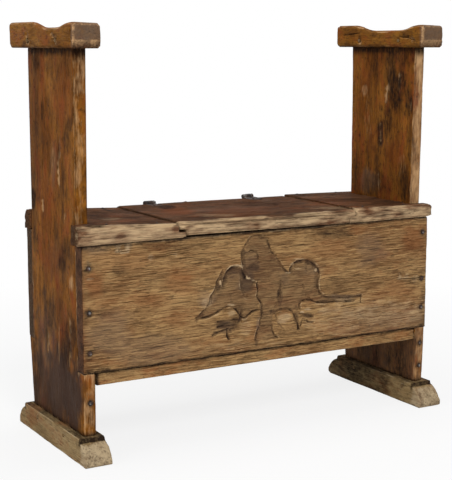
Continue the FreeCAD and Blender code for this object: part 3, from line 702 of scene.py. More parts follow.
# Painted shade in the carved eagle's hollows, its greyed and pale places, and painted highlights on its lips
EAGLE_MARKS = (
    marks_of(
        "shade", (248.5, 285, 9, 12, 0.73), (247, 274, 7, 6, 0.62), (243.5, 259, 2.6, 10, 0.62),
        (254, 267, 5, 3.5, 0.73), (232, 270.5, 8, 3.5, 0.66), (222, 281, 2.5, 9, 0.58),
        (218, 287, 2.5, 5, 0.73), (234, 283, 5, 8, 0.37), (224, 324, 9, 5, 0.66), (235, 323, 4, 8, 0.58),
        (216, 333, 4, 2.5, 0.73), (261.5, 311, 2, 10, 0.66), (256.5, 340, 1.8, 6, 0.58),
        (280, 298, 3, 13, 0.62), (273, 312, 4, 2.2, 0.66), (263, 291, 5, 3, 0.47), (285, 278, 6, 8, 0.4),
        (309, 263, 9, 4.5, 0.66), (316, 278, 4.5, 9, 0.55), (303, 280, 10, 8, 0.26),
        (324, 301, 10, 1.8, 0.66), (340, 297, 14, 3, 0.37), (296, 318, 3, 9, 0.58),
        (309, 316, 5.5, 3, 0.73), (264, 280, 12, 24, 0.24), (208, 311, 7, 5, 0.29), (262, 243, 12, 8, 0.2))
    + marks_of(
        "silver", (246, 284, 9, 13, 0.45), (341, 297, 14, 3, 0.5), (285, 278, 6, 8, 0.4),
        (258.5, 325, 2.2, 8, 0.6), (225, 326, 10, 8, 0.4), (252, 262, 9, 10, 0.35), (231, 275, 8, 5, 0.35),
        (310, 270, 12, 10, 0.35))
    # Painted highlights on the carving's lips, with pale worn chips and the pale thighs
    + marks_of(
        "worn", (220.5, 282.5, 0.9, 2.2, 1.0), (248.5, 278.4, 2.1, 0.9, 1.0), (253.7, 280.6, 1.7, 0.8, 0.9),
        (316.5, 270, 1.8, 1.4, 1.0), (288.5, 273, 3.6, 1.0, 0.9), (236, 266, 6, 1.1, 0.6),
        (300, 259.3, 8, 1.1, 0.65), (293, 264, 2.5, 1.6, 0.6), (302, 312, 2.2, 1.3, 1.0),
        (308, 309.6, 5, 1.0, 0.75), (284.5, 319, 8, 8.5, 0.5), (206, 304, 6, 6, 0.35),
        (231, 305, 4, 1.1, 0.7), (231, 313, 5, 4, 0.45), (298, 269, 5, 1.1, 0.45), (246, 328, 7, 9, 0.3))
)

SEAT_MARKS = (
    marks_of(
        "dirt_and_shadow", (96, 216, 14, 6, 0.55), (92, 225, 10, 3, 0.6), (166, 207, 9, 2.2, 0.75),
        (276, 204.5, 5, 1.5, 0.6), (385, 202, 26, 3, 0.5), (345, 214, 10, 3, 0.45),
        (145, 222, 14, 2.5, 0.35), (300, 213, 20, 1.6, 0.3), (205, 207, 26, 2.0, 0.3),
        (350, 199, 14, 2.0, 0.4))
    + marks_of(
        "warm", (175, 211, 16, 4, 0.6), (238, 212, 30, 5, 0.35), (330, 202, 20, 4, 0.3))
    + marks_of(
        "silver", (265, 200, 6, 2, 0.4), (225, 209, 40, 3, 0.25))
    # Painted highlight lines along the top of the rounded front edge
    + marks_of(
        "worn", (110, 219, 10, 1.6, 0.4), (215, 215, 22, 1.6, 0.35), (330, 208, 26, 1.6, 0.35))
)

LEFT_OUTER_CRACKS = cracks_in(
    X, OUTER_LEFT,
    (((64.5, 212), (64.3, 221)), 0.0024), (((42.0, 198), (42.6, 212)), 0.0020),
    (((48.0, 238), (48.2, 247)), 0.0018), (((59.0, 138), (58.6, 186)), 0.0016),
    (((33.4, 52), (33.2, 63)), 0.0022), (((69.4, 318), (69.8, 372)), 0.0012),
    (((47.0, 330), (47.6, 352)), 0.0014),
)
RIGHT_INNER_CRACKS = cracks_in(
    X, INNER_RIGHT,
    (((380.5, 122), (381.0, 147)), 0.0042), (((391.0, 66), (388.0, 86), (385.5, 104)), 0.0022),
    (((400.0, 72), (398.5, 92)), 0.0020), (((412.0, 96), (411.0, 112)), 0.0026),
    (((378.0, 172), (379.0, 192)), 0.0014),
)
LEFT_ARM_CRACKS = cracks_in(
    X, ARM_LOW.x,
    (((26.4, 35), (26.6, 43)), 0.0022), (((50.6, 32), (54.6, 42)), 0.0024),
    (((69.6, 29), (69.8, 41)), 0.0018),
)
RIGHT_ARM_CRACKS = cracks_in(
    X, RIGHT_ARM_LOW.x,
    (((399, 36.5), (408, 38.2), (415, 40)), 0.0026), (((343, 35.5), (360, 33)), 0.0018),
)
BOARD_CRACKS = cracks_in(
    Y, BOARD_FACE,
    (((119.2, 249), (119.4, 252.6), (130.5, 250.8)), 0.0020),
    (((147.4, 258.2), (164, 256.4), (178, 254.2)), 0.0018), (((398, 279.5), (421, 277.5)), 0.0022),
    (((86, 279), (95, 278.6)), 0.0016),
)


def upright_painter(points, normals, layers, wave, nibble):
    front = np.clip(-normals[:, Y] - 0.4, 0.0, 0.6) / 0.6
    lay(layers, "worn", front * (0.30 + 0.3 * nibble))
    # Painted shadow under the armrests
    under_arm = unit((points[:, Z] - ARM_LOW.z + 0.022) / 0.014)
    lay(layers, "dirt_and_shadow", under_arm * 0.8)
    # Darker just above the feet
    foot_line = unit((FOOT_TOP + 0.012 - points[:, Z]) / 0.010)
    lay(layers, "dirt_and_shadow", foot_line * 0.6)
    inner_edge = unit((0.005 - np.abs(np.abs(points[:, X]) - INNER_RIGHT)) / 0.004) * front
    lay(layers, "dirt_and_shadow", inner_edge * 0.4)


def left_upright_painter(points, normals, layers, wave, nibble):
    """Darker at the rear edge and under the armrest."""
    upright_painter(points, normals, layers, wave, nibble)
    above_seat = points[:, Z] > SEAT_TOP
    rear = unit((points[:, Y] - REAR_BAND + 0.014 * wave) / 0.03) * above_seat
    lay(layers, "shade", rear * 0.5)
    top_front = unit((points[:, Z] - TOP_SHADE) / 0.08) * (normals[:, Y] < -0.4)
    lay(layers, "shade", top_front * (0.55 + 0.2 * wave))


def inner_lower_painter(points, normals, layers, wave, nibble):
    upright_painter(points, normals, layers, wave, nibble)
    front = normals[:, Y] < -0.6
    lay(layers, "silver", front * 0.35)
    lay(layers, "worn", front * (0.42 + 0.35 * nibble))
    # Painted shade, greyed, on the inner faces under the chest
    below = unit((BOARD_BOTTOM - 0.01 - points[:, Z]) / 0.02) * (normals[:, X] < -0.5)
    lay(layers, "dirt_and_shadow", below * (0.35 + 0.3 * wave))
    lay(layers, "silver", below * 0.5)


def seat_painter(points, normals, layers, wave, nibble):
    """The top is dark, and the front nosing is rubbed bare and carries painted highlight."""
    nosing = unit((-points[:, Y] - BARE_NOSING + 0.0045 * nibble + 0.003 * wave) / 0.006)
    top = unit(normals[:, Z]) * (1.0 - nosing)
    layers["worn"] = np.maximum(layers["worn"] * nosing, nosing * (0.55 + 0.35 * nibble))
    lay(layers, "dirt_and_shadow", top * (0.20 + 0.25 * wave))
    lay(layers, "silver", nosing * 0.25)


def arm_painter(points, normals, layers, wave, nibble):
    """The front end is grey-brown and speckled, pale along its edges."""
    tip = unit((ARM_FRONT + 0.014 - points[:, Y]) / 0.010)
    lay(layers, "silver", tip * 0.9)
    layers["end_grain"] *= 0.45
    rim = unit((points[:, Z] - ARM_LOW.z - 0.012) / 0.002) * unit((ARM_LOW.z + 0.019 - points[:, Z]) / 0.002)
    corner = unit(-normals[:, X] * 1.6) * (normals[:, Y] < -0.3)
    rubbed = tip * np.maximum(rim, corner) * (0.62 + 0.3 * nibble)
    layers["worn"] = np.maximum(layers["worn"] * (1 - tip * 0.4), rubbed)
    # Painted shade on the lower chamfer of the front end and on the downward faces
    below = tip * unit((ARM_LOW.z + 0.012 - points[:, Z]) / 0.002)
    lay(layers, "dirt_and_shadow", below * 0.35)
    under = unit(-normals[:, Z])
    lay(layers, "dirt_and_shadow", under * 0.6)


def foot_painter(points, normals, layers, wave, nibble):
    beyond = np.abs(points[:, Y]) - RIDGE_END
    toe = unit((-points[:, Y] - RIDGE_END + 0.004 + 0.006 * wave) / 0.01)
    lay(layers, "worn", toe * (0.68 + 0.3 * nibble))
    lay(layers, "silver", toe * 0.4)
    top = unit((normals[:, Z] - 0.7) / 0.3) * (points[:, Z] > FOOT_TOP - 0.004)
    lay(layers, "dirt_and_shadow", top * (0.45 + 0.3 * nibble) * (beyond < 0))
    # Painted shadow on the step where the ridge ends
    riser = unit((beyond + 0.0015) / 0.001) * unit((0.0045 - beyond) / 0.0015)
    riser *= unit((points[:, Z] - FOOT_TOP + 0.0105) / 0.001)
    lay(layers, "dirt_and_shadow", riser * (0.8 + 0.2 * nibble))
    layers["worn"] = layers["worn"] * (1 - riser)


def dark_foot_painter(points, normals, layers, wave, nibble):
    foot_painter(points, normals, layers, wave, nibble)
    # Painted shadow on the rear of the foot, under the chest
    rear = unit((points[:, Y] + DARK_FOOT_REACH + 0.01 * nibble) / 0.02)
    lay(layers, "dirt_and_shadow", rear * (0.42 + 0.2 * wave))


# The carved eagle, read from the photograph: each stroke's course, its depth, the widths in millimetres
# of its two walls, and the hand on which the gentle wall lies

Stroke = namedtuple("Stroke", "course depth steep gentle side")
LEFT_HAND, RIGHT_HAND, BOTH = 1, -1, 0
HEAD = ((263, 237), (257, 235), (251, 237), (247, 242), (244, 248), (242, 253), (241.8, 258), (243, 264),
        (244, 270), (246, 275))
BEAK = ((249, 252), (252, 250.5), (256, 252), (258.5, 255.5), (258, 259), (255.5, 263), (252, 266.5))
NECK = ((267, 238), (269.5, 245), (271, 250), (275, 255.5), (279, 260), (281, 264), (284.5, 269),
        (288.5, 272.5))
LEFT_SHOULDER = ((246, 277), (244, 272.5), (241, 268.5), (237, 266.3), (233, 266.8), (230, 268.8),
                 (227, 272), (224.8, 276), (223.8, 281), (223, 285))
LEFT_PINIONS = ((221.5, 272), (219.5, 277), (217, 282), (215.8, 288), (213.5, 293), (210.5, 297),
                (209.8, 302), (206.5, 307.5), (202, 312.5), (198, 317), (196.5, 319))
LEFT_SCALLOP = ((196.5, 319), (204, 318.3), (210, 316.5), (217, 313), (223, 309.3), (229, 306.6),
                (233, 307.6), (236.5, 310.5), (239, 314), (241.5, 317.3), (245, 318.3), (248.5, 315.3),
                (252.5, 312), (258, 310.2))
LEFT_BREAST = ((257.3, 283), (257.6, 290), (257.3, 297), (260, 301), (262, 305.5), (261.3, 310),
               (262.3, 315), (260.3, 320), (260, 325), (258, 329), (256.6, 334), (255.5, 339),
               (255.8, 342.5), (257.3, 345.6))
RIGHT_BREAST = ((281.5, 281), (281, 286), (280, 291), (279.2, 297), (277.5, 303), (275.3, 308),
                (272.5, 312))
RIGHT_SHOULDER = ((289.8, 271.5), (290.6, 267.5), (293.6, 263.6), (298.5, 261), (304, 260), (309.5, 260.8),
                  (313.8, 263.4), (317.4, 267), (319.3, 271))
RIGHT_PINIONS = ((319.3, 271), (319.4, 276), (318.4, 282), (318.4, 288), (320.4, 292.3), (323.8, 295.8),
                 (328, 297.2), (335, 297), (345, 297.4), (353, 296.6), (361, 294.3))
RIGHT_UNDERSIDE = ((354, 301.2), (345, 301.6), (334, 301.8), (328, 302.6), (321, 302.6), (315, 302),
                   (310.5, 300.2), (305.5, 300.2), (301.8, 301.6), (299.8, 304.5), (300.2, 308.5))
RIGHT_THIGH = ((274.5, 311.5), (280.5, 309.4), (286.5, 309), (291.2, 310.6), (294.3, 314.4), (296.4, 319),
               (298, 324), (298.6, 329))
EAGLE = (
    Stroke(HEAD, 0.7, 2.0, 8.0, LEFT_HAND), Stroke(BEAK, 0.9, 3.5, 3.5, BOTH),
    Stroke(NECK, 0.75, 2.5, 8.0, RIGHT_HAND), Stroke(LEFT_SHOULDER, 1.0, 2.2, 16.0, LEFT_HAND),
    Stroke(LEFT_PINIONS, 0.85, 2.2, 10.0, LEFT_HAND), Stroke(LEFT_SCALLOP, 1.0, 2.2, 6.0, LEFT_HAND),
    Stroke(LEFT_BREAST, 0.9, 2.5, 6.0, LEFT_HAND),
    Stroke(((241, 279), (241.5, 286), (243, 292), (246, 297), (250, 298.3), (256, 296.5)),
           0.55, 3.0, 9.0, LEFT_HAND),
    Stroke(((241, 277.5), (246, 279.5), (251, 281), (257, 283.5)), 0.45, 3.0, 8.0, RIGHT_HAND),
    Stroke(((259.5, 289.5), (264, 288.6), (269, 289.3)), 0.5, 3.0, 3.0, BOTH),
    Stroke(RIGHT_BREAST, 0.95, 7.5, 7.5, BOTH),
    Stroke(((272.3, 325), (272.6, 329.5), (274.2, 333.5), (276.8, 337), (279.2, 339.6)),
           0.85, 2.2, 4.5, RIGHT_HAND),
    Stroke(RIGHT_SHOULDER, 1.0, 2.2, 13.0, RIGHT_HAND), Stroke(RIGHT_PINIONS, 0.8, 2.2, 9.0, RIGHT_HAND),
    Stroke(((291.5, 272), (296.5, 269), (301.5, 266), (305, 267), (307.3, 270.5), (308, 276)),
           0.5, 3.0, 3.0, BOTH),
    Stroke(((361, 294), (360.9, 302)), 0.8, 1.8, 3.0, RIGHT_HAND),
    Stroke(RIGHT_UNDERSIDE, 1.0, 2.2, 5.0, RIGHT_HAND),
    Stroke(((303, 284), (304.6, 290), (307.6, 295.5), (310.6, 299.8)), 0.6, 3.0, 3.5, BOTH),
    Stroke(RIGHT_THIGH, 1.05, 5.0, 5.0, BOTH),
    Stroke(((276, 313), (276.8, 318.5), (279.8, 325), (284.5, 330)), 0.45, 3.0, 3.0, BOTH),
    Stroke(((241.5, 313), (240, 320), (236, 326), (231, 330)), 0.85, 9.0, 9.0, BOTH),
    Stroke(((240, 320), (233, 320), (226, 321), (218, 322.3)), 1.0, 4.8, 4.8, BOTH),
    Stroke(((236, 325), (228, 326), (218, 327.3)), 1.0, 4.5, 4.5, BOTH),
    Stroke(((229, 328.5), (222.5, 331), (217, 333.3), (213, 336.2)), 1.0, 4.8, 4.8, BOTH),
    Stroke(((227.3, 328.5), (227.4, 334), (229, 339.5)), 1.0, 4.2, 4.2, BOTH),
    Stroke(((296.5, 306), (298.5, 312), (303, 314)), 0.55, 5.0, 5.0, BOTH),
    Stroke(((303.5, 314.5), (308.5, 316), (313, 316.6)), 1.0, 4.0, 4.0, BOTH),
    Stroke(((304, 319), (308.5, 321.6), (313.3, 322.3)), 0.8, 3.0, 3.0, BOTH),
    Stroke(((303.2, 318.5), (302.2, 322), (300.8, 325.5)), 0.8, 3.0, 3.0, BOTH),
)
SILHOUETTES = (
    LEFT_SHOULDER[:7] + LEFT_PINIONS + LEFT_SCALLOP[1:] + LEFT_BREAST[1::-1],
    HEAD[::-1] + NECK + RIGHT_BREAST + ((272.3, 325), (274.2, 333.5), (279.2, 339.6), (270, 346))
    + LEFT_BREAST[::-1],
    NECK[-1:] + RIGHT_SHOULDER + RIGHT_PINIONS + RIGHT_UNDERSIDE + RIGHT_THIGH[3::-1] + RIGHT_BREAST[::-1],
)


def smooth_path(points, between=4):
    """A curve through the points, as a close row of points."""
    points = [np.array(p, float) for p in points]
    ends = [points[0] * 2 - points[1]] + points + [points[-1] * 2 - points[-2]]
    path = []
    for a, b, c, d in zip(ends, ends[1:], ends[2:], ends[3:]):
        for i in range(between):
            t = i / between
            path.append(0.5 * (2 * b + (c - a) * t + (2 * a - 5 * b + 4 * c - d) * t * t
                               + (3 * b - 3 * c + d - a) * t ** 3))
    path.append(points[-1])
    return np.array(path)


def on_board(pixels):
    """Photograph pixels as (x, z) on the front board's face."""
    return np.array([on_plane(pixel, Y, BOARD_FACE)[[X, Z]] for pixel in pixels])


def inside_outline(points, outline):
    """Which (x, z) points lie inside a closed outline."""
    inside = np.zeros(len(points), bool)
    for start, end in zip(outline, np.roll(outline, -1, axis=0)):
        rise = end[1] - start[1] or 1e-12
        crossing = start[0] + (points[:, 1] - start[1]) * (end[0] - start[0]) / rise
        between = (start[1] > points[:, 1]) != (end[1] > points[:, 1])
        inside ^= between & (points[:, 0] < crossing)
    return inside


def carving(points):
    """Depth (0 to 1), lip (a pale worn edge with painted highlight) and body of the eagle at (x, z) points of
    the board.
    """
    depth, lip = np.zeros(len(points)), np.zeros(len(points))
    places = np.column_stack((points[:, 0], points[:, 1] * 0, points[:, 1]))
    uneven = random_noise(places, (0.012, 0.012, 0.012), 5, 2)
    shift = [random_noise(places, (0.009, 0.009, 0.009), number, 2) for number in (8, 9)]
    points = points + np.column_stack(shift) * 0.0006
    for stroke in EAGLE:
        path = on_board(smooth_path(stroke.course))
        best, hand = np.full(len(points), 1.0), np.zeros(len(points))
        for start, end in zip(path, path[1:]):
            along = end - start
            offset = points - start
            share = unit(offset @ along / max(along @ along, 1e-12))
            away = offset - share[:, None] * along
            distance = np.hypot(away[:, 0], away[:, 1])
            closer = distance < best
            best = np.where(closer, distance, best)
            hand = np.where(closer, np.sign(along[0] * offset[:, 1] - along[1] * offset[:, 0]), hand)
        gentle = (hand == stroke.side) | (stroke.side == BOTH)
        width = np.where(gentle, stroke.gentle, stroke.steep) / 1000
        profile = unit(1.0 - best / width)
        wander = 0.8 + 0.35 * uneven
        depth = np.maximum(depth, wander * stroke.depth * np.where(gentle, profile ** 1.3, profile))
        rim = unit(1.0 - np.abs(best - stroke.steep / 1000 - 0.0012) / 0.002)
        lip = np.maximum(lip, rim * ~gentle * stroke.depth)
    body = np.zeros(len(points), bool)
    for outline in SILHOUETTES:
        body |= inside_outline(points, on_board(outline))
    return depth, lip * (depth < 0.3), body


def carve_board(bm):
    """A fine mesh where the eagle is."""
    paths = np.concatenate([on_board(smooth_path(stroke.course)) for stroke in EAGLE])

    def close(edge):
        middle = (edge.verts[0].co + edge.verts[1].co) / 2
        if middle.y > BOARD_FACE + 0.0005:
            return False
        return np.min(np.hypot(paths[:, 0] - middle.x, paths[:, 1] - middle.z)) < EAGLE_REACH

    refine(bm, EAGLE_STEP, close, 3)


def board_painter(points, normals, layers, wave, nibble):
    """The eagle's depth is cut into the board; painted shade goes in its hollows and over its body, and
    painted highlight with pale wear on its lips.
    """
    flat = points[:, (X, Z)]
    corners = on_board(((190, 350), (370, 225)))
    framed = np.all((flat > corners[0]) & (flat < corners[1]), axis=1)
    chosen = np.where((points[:, Y] < BOARD_FACE + 0.001) & framed)[0]
    depth, lip, body = carving(flat[chosen])
    mesh = bpy.data.objects["front_board_carved"].data
    current = vertex_arrays(mesh)[0]
    sunk = np.where(body, np.maximum(depth, 0.07), depth)
    current[chosen, Y] += sunk * bpy.context.scene.bench_sizes.carving_depth
    mesh.vertices.foreach_set("co", current.ravel())
    mesh.update()
    # Painted shade in the carved hollows, a darker tone over the eagle's body, and pale worn lips with
    # painted highlight
    layers["shade"][chosen] = np.maximum(1.15 * depth, body * 0.3)
    layers["dirt_and_shadow"][chosen] = np.maximum(layers["dirt_and_shadow"][chosen], 0.4 * depth ** 2)
    layers["silver"][chosen] = np.maximum(layers["silver"][chosen], body * 0.12)
    layers["worn"][chosen] = np.maximum(layers["worn"][chosen], lip * (0.45 + 0.7 * nibble[chosen]))
    # Painted shadow under the seat's nosing
    top_shadow = unit((points[:, Z] - BOARD_TOP + 0.012) / 0.012)
    lay(layers, "dirt_and_shadow", top_shadow * (0.45 + 0.3 * nibble) * (normals[:, Y] < -0.5))
    # A dark joint line along the bottom edge, and a painted shadow line under the seat's nosing along the top
    bottom_line = unit((BOARD_BOTTOM + 0.0045 - points[:, Z]) / 0.003)
    top_line = unit((points[:, Z] - BOARD_TOP + 0.0055) / 0.003)
    lay(layers, "dirt_and_shadow", np.maximum(bottom_line * 0.85, top_line * 0.95))
    end = unit((OUTER_LEFT + 0.006 - points[:, X]) / 0.006)
    lay(layers, "dirt_and_shadow", end * (0.42 + 0.25 * nibble))
    lay(layers, "warm", end * 0.5)
    layers["worn"] *= 1 - np.maximum(end, bottom_line)


def rail_painter(points, normals, layers, wave, nibble):
    """Dark where the rail meets the board and the uprights."""
    top = unit((points[:, Z] - BOARD_BOTTOM + 0.005) / 0.003)
    ends = unit((np.abs(points[:, X]) - INNER_RIGHT + 0.006) / 0.004)
    lay(layers, "dirt_and_shadow", np.maximum(top, ends) * 0.8)
    layers["worn"] *= 1 - np.maximum(top, ends)


def hammered_nails(name, node):
    """Forged nails: the CAD's low cones with a raised, dented middle."""
    sizes = bpy.context.scene.bench_sizes
    bm = merged_copy(node)
    caps = [f for f in bm.faces if len(f.verts) > 8 and f.calc_area() > NAIL_CAP_AREA]
    bmesh.ops.inset_individual(bm, faces=caps, thickness=NAIL_RING, depth=NAIL_RISE)
    bmesh.ops.poke(bm, faces=caps)
    refine(bm, 0.0022, lambda edge: edge.calc_length() < 0.008, 2)
    bmesh.ops.triangulate(bm, faces=bm.faces)
    made = add_object(name, bm, bpy.data.materials["forged_iron"])
    points, normals = vertex_arrays(made.data)
    dents = random_noise(points, (0.004, 0.004, 0.004), sizes.seed, 2)
    moved = points - normals * (sizes.nail_dent * (0.5 + 0.5 * np.clip(dents, -1, 1)))[:, None]
    made.data.vertices.foreach_set("co", moved.ravel())
    crown = unit((np.abs(normals).max(axis=1) - 0.93) / 0.07)
    paint(made, "worn", crown * (0.75 + 0.6 * dents))
    soften(made, 50.0)
    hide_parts(node)
    return made


# Operators

def scene_woods():
    """The woods of the bench. The pith is given in the two axes across the grain."""
    c = bpy.context.scene.bench_colours
    upright = Wood("upright_wood_left", Z, c.upright_body, c.upright_streak, c.upright_glow, c.upright_bare,
                   pith=(-0.36, 0.02), ring=0.007, fibre=0.0044, reach=6, figure=0.55, lines=0.34,
                   blotch=0.85, seed=11, gloss=0.3, sheen=0.06)
    armrest = Wood("armrest_wood_left", Y, c.arm_body, c.arm_streak, c.arm_glow, c.upright_bare,
                   pith=(-0.46, 0.84), ring=0.006, fibre=0.004, reach=6, figure=0.45, lines=0.35,
                   blotch=0.7, seed=31, gloss=0.3, sheen=0.07)
    board = Wood("front_board_wood", X, c.board_body, c.board_streak, c.board_glow, c.seat_bare,
                 pith=(-0.02, 0.36), ring=0.005, fibre=0.0024, reach=22, figure=0.4, lines=1.0,
                 blotch=0.3, seed=41, gloss=0.15, sheen=0.15)
    hidden = Wood("back_board_wood", X, c.back_body, c.back_streak, c.back_glow, c.end_grain,
                  pith=(0.10, 0.40), ring=0.007, fibre=0.005, reach=12, figure=0.5, lines=0.7,
                  blotch=0.4, seed=53, gloss=0.1, sheen=0.08)
    seat = Wood("seat_wood", X, c.seat_body, c.seat_streak, c.seat_glow, c.seat_bare,
                pith=(-0.03, 0.42), ring=0.005, fibre=0.0034, reach=14, figure=0.55, lines=0.9,
                blotch=0.32, seed=59, gloss=0.2, sheen=0.03)
    foot = Wood("foot_wood_left", Y, c.foot_body, c.foot_streak, c.foot_glow, c.foot_bare,
                pith=(-0.44, -0.06), ring=0.006, fibre=0.004, reach=8, figure=0.35, lines=0.4,
                blotch=0.5, seed=61, gloss=0.1, sheen=0.1)
    return {
        "left_upright": upright,
        "right_upright": upright._replace(name="upright_wood_right", pith=(0.52, -0.03), figure=0.6,
                                          blotch=0.9, seed=23),
        "left_armrest": armrest,
        "right_armrest": armrest._replace(name="armrest_wood_right", pith=(0.46, 0.83), seed=37),
        "front_board": board,
        "front_rail": board._replace(name="rail_wood", pith=(-0.05, 0.30), fibre=0.0028, reach=18, lines=0.9,
                                     blotch=0.5, seed=47, sheen=0.12),
        "hidden": hidden,
        "seat": seat,
        "left_foot": foot,
        "right_foot": foot._replace(name="foot_wood_right", pith=(0.45, -0.05), seed=67),
    }


WORLD_STRENGTH = 0.42
LAMPS = (
    ("key_lamp", (-0.9, -3.3, 2.9), (0.0, 0.0, 0.45), 1.4, 85.0),
    ("side_fill", (-3.4, -0.6, 1.6), (0.0, 0.0, 0.45), 1.8, 20.0),
    ("top_lamp", (0.3, 0.3, 3.2), (0.0, 0.0, 0.4), 1.6, 22.0),
)


class BENCH_OT_stage(bpy.types.Operator):
    """Make the floor, the lamps and the camera"""
    bl_idname = "bench.stage"
    bl_label = "Stage"

    def execute(self, context):
        scene = context.scene
        scene.view_settings.view_transform = "Standard"
        floor_shader = Shader("pale_floor")
        seen = floor_shader.node("ShaderNodeLightPath", {}, {}, "Is Camera Ray")
        plain = floor_shader.node("ShaderNodeBsdfDiffuse", {}, {"Color": (0.9, 0.9, 0.9, 1.0)})
        lit = floor_shader.node("ShaderNodeEmission", {}, {"Color": (1, 1, 1, 1), "Strength": 1.0})
        place = floor_shader.node("ShaderNodeTexCoord", {}, {}, "Object")
        away = floor_shader.node("ShaderNodeVectorMath", {"operation": "LENGTH"}, {0: place}, "Value")
        share = 0.82 + away.between(0.7, 1.8) * 0.18
        mixed = floor_shader.node("ShaderNodeMixShader", {}, {0: seen * share, 1: plain, 2: lit})
        floor_shader.node("ShaderNodeOutputMaterial", {}, {"Surface": mixed})
        bm = bmesh.new()
        bmesh.ops.create_grid(bm, x_segments=2, y_segments=2, size=20.0)
        floor = add_object("floor", bm, floor_shader.owner)

        sky = Shader("studio", "worlds")
        scene.world = sky.owner
        path = [sky.node("ShaderNodeLightPath", {}, {}, ray)
                for ray in ("Is Camera Ray", "Is Glossy Ray", "Is Transmission Ray")]
        direct = path[0].most(path[1]).most(path[2])
        strength = direct * (1.0 - WORLD_STRENGTH) + WORLD_STRENGTH
        glow = sky.node("ShaderNodeBackground", {}, {"Color": (1, 1, 1, 1), "Strength": strength})
        sky.node("ShaderNodeOutputWorld", {}, {"Surface": glow})

        for name, place, target, size, watts in LAMPS:
            lamp = bpy.data.lights.new(name, "AREA")
            lamp.shape, lamp.size, lamp.energy = "DISK", size, watts
            made = bpy.data.objects.new(name, lamp)
            made.location = place
            made.rotation_euler = (Vector(target) - Vector(place)).to_track_quat("-Z", "Y").to_euler()
            scene.collection.objects.link(made)

        camera = bpy.data.cameras.new("photograph")
        camera.sensor_fit = "VERTICAL"
        camera.sensor_height = SENSOR
        camera.lens = FOCAL_PIXELS / PHOTO_HEIGHT * SENSOR
        made = bpy.data.objects.new("photograph", camera)
        made.location = EYE
        made.rotation_euler = Vector(FORWARD).to_track_quat("-Z", "Y").to_euler()
        scene.collection.objects.link(made)
        scene.camera = made
        return {"FINISHED"}


class BENCH_OT_uprights(bpy.types.Operator):
    """Make the two plank uprights"""
    bl_idname = "bench.uprights"
    bl_label = "Uprights"

    def execute(self, context):
        woods = scene_woods()
        wear = context.scene.bench_sizes.edge_wear
        for node, cracks, marks, level, painter in (
                ("left_upright", LEFT_OUTER_CRACKS, LEFT_OUTER_MARKS, OUTER_LEFT, left_upright_painter),
                ("right_upright", RIGHT_INNER_CRACKS, RIGHT_INNER_MARKS, INNER_RIGHT, inner_lower_painter)):
            worn_piece(node + "_worn", "root", (node,), wood_material(woods[node]), Z,
                       PLANK_STEP, wear * 0.8, cracks, marks, (X, level), painter=painter,
                       iron=("upright_edge_nails",), flush=(FOOT_TOP, ARM_LOW.z))
        return {"FINISHED"}


class BENCH_OT_armrests(bpy.types.Operator):
    """Make the two block armrests"""
    bl_idname = "bench.armrests"
    bl_label = "Armrests"

    def execute(self, context):
        woods = scene_woods()
        wear = context.scene.bench_sizes.edge_wear
        for node, cracks in (("left_armrest", LEFT_ARM_CRACKS), ("right_armrest", RIGHT_ARM_CRACKS)):
            worn_piece(node + "_worn", "root", (node,), wood_material(woods[node]), Y,
                       BLOCK_STEP, wear, cracks, painter=arm_painter, flush=(ARM_LOW.z,))
        return {"FINISHED"}


class BENCH_OT_feet(bpy.types.Operator):
    """Make the two sledge feet"""
    bl_idname = "bench.feet"
    bl_label = "Feet"

    def execute(self, context):
        woods = scene_woods()
        wear = context.scene.bench_sizes.edge_wear
        for node, painter in (("left_foot", foot_painter), ("right_foot", dark_foot_painter)):
            worn_piece(node + "_worn", "root", (node,), wood_material(woods[node]), Y,
                       BLOCK_STEP, wear * 0.45, painter=painter, flush=(0.0, FOOT_TOP))
        return {"FINISHED"}


class BENCH_OT_chest(bpy.types.Operator):
    """Make the carved front board, the rail, the back board and the floor of the chest"""
    bl_idname = "bench.chest"
    bl_label = "Chest boards"

    def execute(self, context):
        woods = scene_woods()
        wear = context.scene.bench_sizes.edge_wear
        worn_piece("front_board_carved", "root", ("front_board",),
                   wood_material(woods["front_board"]), X, BOARD_STEP, wear * 0.6, BOARD_CRACKS,
                   BOARD_MARKS + EAGLE_MARKS, (Y, BOARD_FACE), painter=board_painter, finer=carve_board,
                   iron=("front_board_nails",))
        worn_piece("front_rail_worn", "root", ("front_rail",),
                   wood_material(woods["front_rail"]), X, BOARD_STEP, wear * 0.8, painter=rail_painter)
        hidden = wood_material(woods["hidden"])
        worn_piece("back_board_worn", "root", ("back_board",), hidden, X, BACK_STEP,
                   wear * 0.35, iron=("back_board_nails",))
        worn_piece("floor_board_worn", "root", ("floor_board",), hidden, X, FLOOR_STEP,
                   wear * 0.5)
        return {"FINISHED"}


class BENCH_OT_seat(bpy.types.Operator):
    """Make the fixed seat ends and the lid"""
    bl_idname = "bench.seat"
    bl_label = "Seat planks"

    def execute(self, context):
        wear = context.scene.bench_sizes.seat_wear
        wood = wood_material(scene_woods()["seat"])
        left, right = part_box("seat_end_left")[0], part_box("seat_end_right")[1]
        radii = (0.016, 0.016, 0.05)
        left_corners = (Hollow((left.x, left.y, SEAT_TOP), radii, 0.0045),
                        Hollow((left.x, -left.y, SEAT_TOP + 0.01), (0.013, 0.013, 0.026), 0.007))
        right_corners = (Hollow((right.x, left.y, SEAT_TOP), radii, 0.0035),
                         Hollow((right.x, -left.y, SEAT_TOP), radii, 0.0035))
        for name, body, node, corners in (("seat_end_left_worn", "root", "seat_end_left", left_corners),
                                          ("seat_end_right_worn", "root", "seat_end_right", right_corners),
                                          ("lid_worn", "lid", "lid", ())):
            worn_piece(name, body, (node,), wood, X, PLANK_STEP, wear, marks=SEAT_MARKS,
                       face=(Z, SEAT_TOP), hollows=corners, painter=seat_painter, iron=("seat_nails",))
        return {"FINISHED"}


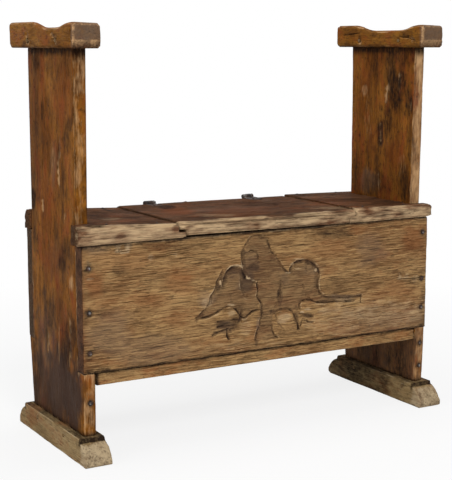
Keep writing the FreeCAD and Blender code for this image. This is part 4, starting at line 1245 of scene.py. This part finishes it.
class BENCH_OT_ironwork(bpy.types.Operator):
    """Make the hinges and the forged nails"""
    bl_idname = "bench.ironwork"
    bl_label = "Ironwork"

    def execute(self, context):
        iron = iron_material()
        for node in ("front_board_nails", "back_board_nails", "upright_edge_nails", "seat_nails",
                     "hinge_frame_nails"):
            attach(hammered_nails(node + "_forged", node), "root")
        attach(hammered_nails("hinge_lid_nails_forged", "hinge_lid_nails"), "lid")
        for side in ("left", "right"):
            for part, body in (("frame_leaf", "root"), ("lid_leaf", "lid")):
                node = side + "_hinge_" + part
                worn_piece(node + "_forged", body, (node,), iron, Y, IRON_STEP, IRON_WEAR)
            refinish(side + "_hinge_pin", iron)
        return {"FINISHED"}


class BENCH_OT_pegs(bpy.types.Operator):
    """Finish the wooden pegs of the feet and armrests"""
    bl_idname = "bench.pegs"
    bl_label = "Pegs"

    def execute(self, context):
        finish = peg_material()
        for node in ("foot_pegs", "armrest_pegs"):
            refinish(node, finish)
        return {"FINISHED"}


class BENCH_PT_panel(bpy.types.Panel):
    """Sidebar panel of the bench"""
    bl_idname = "BENCH_PT_panel"
    bl_label = "Settle bench"
    bl_space_type = "VIEW_3D"
    bl_region_type = "UI"
    bl_category = "Bench"

    def draw(self, context):
        for group in (context.scene.bench_sizes, context.scene.bench_colours):
            for name in group.bl_rna.properties.keys():
                if name not in ("rna_type", "name"):
                    self.layout.prop(group, name)
        for operator in OPERATORS:
            self.layout.operator(operator.bl_idname)


OPERATORS = (BENCH_OT_stage, BENCH_OT_uprights, BENCH_OT_armrests, BENCH_OT_feet, BENCH_OT_chest,
             BENCH_OT_seat, BENCH_OT_ironwork, BENCH_OT_pegs)
CLASSES = (BenchColours, BenchSizes) + OPERATORS + (BENCH_PT_panel,)


def register():
    for cls in CLASSES:
        bpy.utils.register_class(cls)
    bpy.types.Scene.bench_colours = PointerProperty(type=BenchColours)
    bpy.types.Scene.bench_sizes = PointerProperty(type=BenchSizes)


def unregister():
    del bpy.types.Scene.bench_colours
    del bpy.types.Scene.bench_sizes
    for cls in reversed(CLASSES):
        bpy.utils.unregister_class(cls)


def plain(bounds):
    return [[float(v) for v in corner] for corner in bounds]


def main():
    register()
    for operator in OPERATORS:
        group, name = operator.bl_idname.split(".")
        getattr(getattr(bpy.ops, group), name)()


if __name__ == "__main__":
    main()
